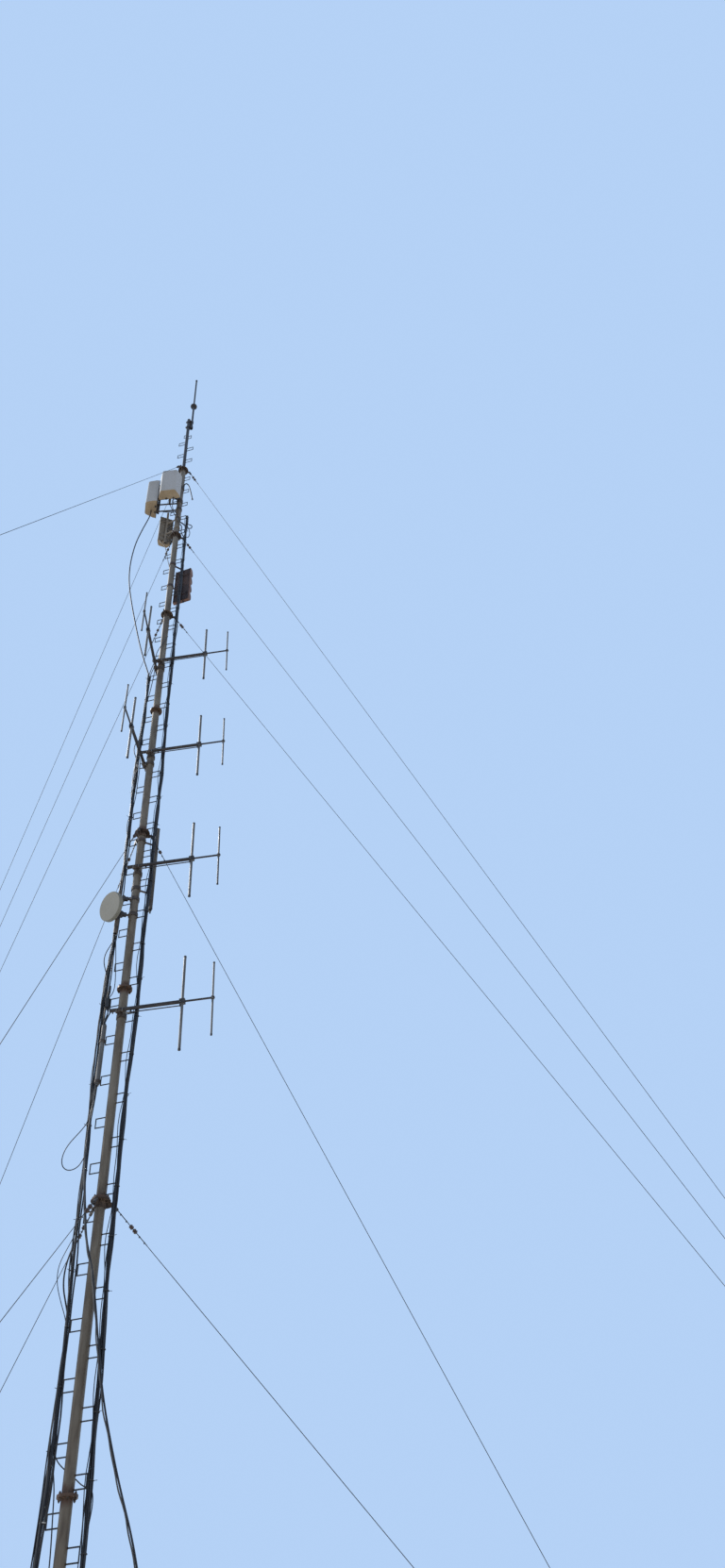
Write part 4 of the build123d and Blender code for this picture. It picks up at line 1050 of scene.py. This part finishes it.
# Loose and short cables beside the bundles, each with its radius
LOOSE_RUNS = [
    # At the junction box
    [0.01, (0.183, -0.106, 23.085), (0.178, -0.12, 22.98), (0.19, -0.128, 22.86), (0.24, -0.124, 22.842),
     (0.3, -0.118, 22.842), (0.33, -0.112, 22.79), (0.3, -0.112, 22.7), (0.232, -0.118, 22.69),
     (0.196, -0.124, 22.64), (0.19, -0.126, 22.54)],
    [0.008, (0.213, -0.094, 23.085), (0.226, -0.11, 22.94), (0.22, -0.124, 22.76), (0.262, -0.13, 22.64),
     (0.292, -0.13, 22.48), (0.276, -0.13, 22.32), (0.222, -0.126, 22.27), (0.196, -0.122, 22.36),
     (0.193, -0.12, 22.52)],
    [0.015, (0.04, -0.092, 22.96), (0.08, -0.104, 22.905), (0.13, -0.112, 22.85), (0.182, -0.118, 22.76),
     (0.198, -0.122, 22.64), (0.198, -0.122, 22.5)],
    [0.011, (0.055, -0.086, 22.86), (0.092, -0.1, 22.8), (0.11, -0.106, 22.68), (0.094, -0.104, 22.56),
     (0.12, -0.11, 22.42), (0.176, -0.118, 22.3), (0.196, -0.12, 22.16)],
    # From panels 1 and 3
    [0.009, (-0.235, -0.118, 23.745), (-0.215, -0.12, 23.62), (-0.178, -0.118, 23.47),
     (-0.13, -0.11, 23.36), (-0.086, -0.1, 23.22), (-0.02, -0.098, 23.08), (0.05, -0.096, 22.93)],
    [0.008, (-0.15, -0.19, 23.745), (-0.14, -0.18, 23.6), (-0.16, -0.15, 23.48), (-0.12, -0.12, 23.38),
     (-0.06, -0.104, 23.3), (0.01, -0.098, 23.16), (0.058, -0.094, 22.96)],
    [0.007, (-0.34, 0.19, 22.56), (-0.33, 0.16, 22.43), (-0.28, 0.13, 22.33), (-0.22, 0.112, 22.22),
     (-0.18, 0.108, 22.06), (-0.15, 0.102, 21.86), (-0.112, 0.1, 21.62), (-0.064, 0.098, 21.38),
     (-0.02, 0.098, 21.1), (0.004, 0.098, 20.76), (0.008, 0.098, 20.38), (0.004, 0.102, 20),
     (0, 0.118, 19.74), (0, 0.138, 19.5), (0, 0.118, 19.26), (-0.004, 0.1, 18.98), (-0.016, 0.098, 18.64),
     (-0.048, 0.1, 18.3), (-0.1, 0.104, 18), (-0.16, 0.11, 17.76), (-0.196, 0.112, 17.52),
     (-0.196, 0.112, 17.24)],
    # Conduit at the top pole
    [0.013, (0.06, -0.03, 24.56), (0.052, -0.04, 24.68), (0.08, -0.042, 24.79), (0.128, -0.042, 24.8),
     (0.176, -0.04, 24.7), (0.214, -0.04, 24.5), (0.246, -0.04, 24.31), (0.276, -0.04, 24.12)],
    # At the splitter and the divider
    [0.007, (-0.236, 0.118, 11.42), (-0.252, 0.104, 11.35), (-0.284, 0.1, 11.27), (-0.322, 0.1, 11.16),
     (-0.334, 0.1, 11.06), (-0.322, 0.1, 10.96), (-0.284, 0.108, 10.85), (-0.254, 0.128, 10.76)],
    [0.006, (-0.214, 0.098, 11.48), (-0.196, 0.062, 11.32), (-0.166, 0.058, 11), (-0.14, 0.058, 10.68),
     (-0.14, 0.06, 10.54), (-0.16, 0.066, 10.45), (-0.196, 0.082, 10.4)],
    [0.009, (-0.122, 0.04, 10.12), (-0.132, 0.056, 10.19), (-0.156, 0.062, 10.15), (-0.184, 0.066, 10.08),
     (-0.214, 0.078, 9.98), (-0.232, 0.1, 9.86)],
    [0.0085, (-0.188, 0.078, 10.24), (-0.186, 0.066, 10.14), (-0.206, 0.066, 10.06), (-0.23, 0.084, 9.96),
     (-0.248, 0.118, 9.84)],
    [0.011, (-0.196, 0.092, 10.6), (-0.19, 0.078, 10.52), (-0.204, 0.082, 10.43), (-0.216, 0.092, 10.36)],
    # Left bundle, upper part
    [0.007, (-0.205, 0.104, 17.62), (-0.17, 0.09, 17.86), (-0.12, 0.082, 18.06), (-0.096, 0.08, 18),
     (-0.112, 0.08, 17.7), (-0.134, 0.08, 17.29), (-0.16, 0.086, 17), (-0.186, 0.104, 16.76)],
    [0.0065, (-0.214, 0.098, 15.42), (-0.176, 0.066, 15.3), (-0.162, 0.06, 15.06), (-0.169, 0.06, 14.68),
     (-0.168, 0.064, 14.4), (-0.184, 0.082, 14.2), (-0.204, 0.104, 13.96)],
    [0.006, (-0.204, 0.108, 14.05), (-0.232, 0.102, 13.9), (-0.254, 0.1, 13.77), (-0.25, 0.1, 13.62),
     (-0.226, 0.1, 13.48), (-0.206, 0.104, 13.3)],
    [0.007, (0.062, -0.07, 18.68), (0.042, -0.088, 18.61), (0.004, -0.092, 18.48),
     (-0.054, -0.092, 18.29), (-0.098, -0.092, 18.15), (-0.124, -0.09, 17.99), (-0.116, -0.084, 17.83)],
    # From panel 2
    [0.01, (-0.108, 0.036, 23.56), (-0.2, 0.06, 23.56), (-0.33, 0.094, 23.59), (-0.452, 0.118, 23.64)],
    # Left bundle, lower part
    [0.009, (-0.226, 0.108, 7.06), (-0.262, 0.104, 6.96), (-0.3, 0.102, 6.8), (-0.312, 0.102, 6.64),
     (-0.296, 0.102, 6.5), (-0.256, 0.104, 6.37), (-0.212, 0.108, 6.22), (-0.204, 0.108, 6.06)],
    [0.008, (-0.226, 0.1, 7.2), (-0.246, 0.09, 7.06), (-0.262, 0.086, 6.88), (-0.262, 0.088, 6.69),
     (-0.24, 0.094, 6.5), (-0.214, 0.1, 6.33), (-0.205, 0.104, 6.16)],
    [0.0045, (-0.228, 0.1, 7.24), (-0.245, 0.1, 7.126), (-0.308, 0.1, 6.975), (-0.388, 0.1, 6.763),
     (-0.378, 0.1, 6.563), (-0.307, 0.1, 6.365), (-0.235, 0.102, 6.201), (-0.204, 0.106, 6.08)],
    [0.007, (-0.202, 0.108, 6.2), (-0.226, 0.106, 5.82), (-0.226, 0.104, 5.5), (-0.237, 0.106, 5.15),
     (-0.244, 0.106, 4.82), (-0.243, 0.106, 4.5), (-0.252, 0.104, 4.17), (-0.264, 0.104, 3.9),
     (-0.262, 0.104, 3.6), (-0.246, 0.106, 3.3), (-0.23, 0.106, 3)],
    [0.0065, (-0.202, 0.11, 5.18), (-0.2, 0.1, 5.05), (-0.196, 0.076, 4.9), (-0.174, 0.052, 4.78),
     (-0.132, 0.034, 4.57), (-0.118, 0.022, 4.35), (-0.102, 0.014, 4.14), (-0.092, 0.008, 3.94),
     (-0.09, 0.004, 3.6), (-0.11, 0.012, 3.3), (-0.15, 0.036, 3), (-0.19, 0.07, 2.75),
     (-0.214, 0.096, 2.5), (-0.222, 0.108, 2.2)],
    [0.006, (-0.194, 0.122, 4.98), (-0.176, 0.116, 4.9), (-0.128, 0.1, 4.814), (-0.04, 0.092, 4.742),
     (0.024, 0.086, 4.7), (0.08, 0.058, 4.647), (0.128, 0.006, 4.596), (0.188, -0.032, 4.566),
     (0.218, -0.072, 4.548), (0.238, -0.104, 4.5), (0.246, -0.12, 4.42), (0.24, -0.116, 4.33),
     (0.222, -0.1, 4.2), (0.214, -0.096, 4.06)],
    [0.0075, (-0.206, 0.108, 15.85), (-0.262, 0.104, 15.76), (-0.3, 0.1, 15.62), (-0.296, 0.1, 15.47),
     (-0.25, 0.1, 15.34), (-0.217, 0.1, 15.22)],
]
CONDUIT_RUN = 7


def loose_cables():
    parts = []
    for radius, *points in LOOSE_RUNS:
        parts.append(as_mesh(smooth_line("loose", points, radius, 4)))
    settle(together(parts), "loose_cables", "cable_black")


loose_cables()


def conduit_bushing():
    """Hexagon and rounded nose on the open end of the hooked conduit."""
    made = together([
        bar(0.0190, 0.014, (0, 0, 0.020), 6, 0.0015),
        bar(0.0165, 0.034, (0, 0, 0.000), 14, 0.003),
    ])
    before, last = LOOSE_RUNS[CONDUIT_RUN][-2:]
    made.matrix_world = stand(last, Vector(before) - Vector(last))
    settle(made, "conduit_bushing", "dark_steel")


conduit_bushing()


# Dish: clamps where the arms meet its pipe, bolts round its back and a gland
DISH_PIPE = Vector((-0.222, -0.014, 0))
DISH_MIDDLE = 11.892
DISH_ARMS = (-0.086, 0.214)
DISH_FACING = 233
DISH_TILT = 12
DISH_REACH = 0.165
DISH_PIPE_STRAP = 0.0345


def circle_places(back, count, first, out, depth):
    """Places evenly round the dish's axis, at one distance from it and one depth."""
    places = []
    for number in range(count):
        turn = math.radians(360 / count * number + first)
        places.append(back @ Matrix.Translation((math.cos(turn) * out, math.sin(turn) * out, depth)))
    return places


def dish_pieces():
    tilt = math.radians(DISH_TILT)
    out = heading(DISH_FACING) * math.cos(tilt) - lift(math.sin(tilt))
    centre = DISH_PIPE + lift(DISH_MIDDLE) + out * DISH_REACH
    back = stand(centre, -out, heading(DISH_FACING + 90))
    rim = circle_places(back, 8, 20, 0.211, 0.060)
    hub = circle_places(back, 4, 45, 0.043, 0.113)
    repeated(hex_bolt(0.014, 0.011), rim + hub, "dish_bolts", "dark_steel")
    clamps = []
    straps = []
    to_mast = -DISH_PIPE.normalized()
    for rise in DISH_ARMS:
        level = lift(DISH_MIDDLE + rise)
        clamps.append(stand(DISH_PIPE + to_mast * 0.052 + level, (0, 0, 1), to_mast))
        for shift in (-0.020, 0.020):
            straps.append(stand(DISH_PIPE + level + lift(shift), -to_mast, (0, 0, 1)))
    jaw = together([
        block((0.034, 0.096, 0.066), (0, 0, 0), 0.004),
        block((0.060, 0.014, 0.052), (0.044, 0.020, 0), 0.003),
        block((0.060, 0.014, 0.052), (0.044, -0.020, 0), 0.003),
    ])
    repeated(jaw, clamps, "dish_clamps", "dark_steel")
    repeated(u_bolt(DISH_PIPE_STRAP, 0.0045, 0.080, 0.008), straps, "dish_straps", "dark_steel")
    outlet = gland(0.040)
    outlet.location = back @ Vector((0.0, -0.120, 0.088))
    settle(outlet, "dish_gland", "box_black")


dish_pieces()


# Slim antenna: end caps, back channel and the connector under its lower end
SLIM = (0.238, 0.075)
SLIM_LOW = 12.002
SLIM_LENGTH = 1.663


def slim_pieces():
    turn = azimuth_of(SLIM)
    low = stand((SLIM[0], SLIM[1], SLIM_LOW), (0, 0, 1), heading(turn))
    parts = []
    for height in (0.012, SLIM_LENGTH - 0.012):
        parts.append(block((0.054, 0.084, 0.026), (0, 0, height), 0.010))
    parts.append(block((0.010, 0.040, SLIM_LENGTH - 0.12), (-0.029, 0, SLIM_LENGTH / 2), 0.003))
    parts.append(bar(0.020, 0.020, (0.002, 0, -0.006), 14, 0.003))
    parts.append(bar(0.013, 0.050, (0.002, 0, -0.036), 12, 0.002))
    made = together(parts)
    made.matrix_world = low
    settle(made, "slim_caps", "slim_black")


slim_pieces()


# Boxes on the feeders, with width, depth and height: lids and screws
BOXES = [
    (LEFT_STEPS, 10.313, (0.080, 0.056, 0.150)),
    (RIGHT_STEPS, 23.160, (0.060, 0.050, 0.100)),
]
SCREW_INSET = 0.013


def box_pieces():
    lids = []
    screws = []
    for azimuth, level, (width, depth, height) in BOXES:
        half = depth / 2
        middle = heading(azimuth) * (STEP_SEAT + half) + lift(level)
        place = stand(middle, (0, 0, 1), heading(azimuth))
        lid = block((0.006, width - 0.012, height - 0.012), (half + 0.002, 0, 0), 0.0015)
        lid.matrix_world = place
        lids.append(lid)
        for side in (-1, 1):
            for end in (-1, 1):
                across = side * (width / 2 - SCREW_INSET)
                up = end * (height / 2 - SCREW_INSET)
                spot = Vector((half + 0.005, across, up))
                screws.append(place @ stand(spot, (1, 0, 0), (0, 0, 1)))
    settle(together(lids), "box_lids", "box_black")
    repeated(hex_bolt(0.007, 0.005), screws, "box_screws", "fitting_steel")


box_pieces()


# Floor
FLOOR_RADIUS = 170


def add_floor():
    nothing_selected()
    bpy.ops.mesh.primitive_circle_add(
        vertices=96, radius=FLOOR_RADIUS, fill_type="NGON", location=(0, 0, -0.002)
    )
    floor = bpy.context.object
    floor.name = "pale_floor"
    floor_finish = weathered("floor_finish", [
        (0.3, (0.74, 0.73, 0.71)), (0.7, (0.80, 0.79, 0.77)),
    ], 0.4, (0.85, 0.95), bump=0.02)
    paint(floor, floor_finish)


add_floor()
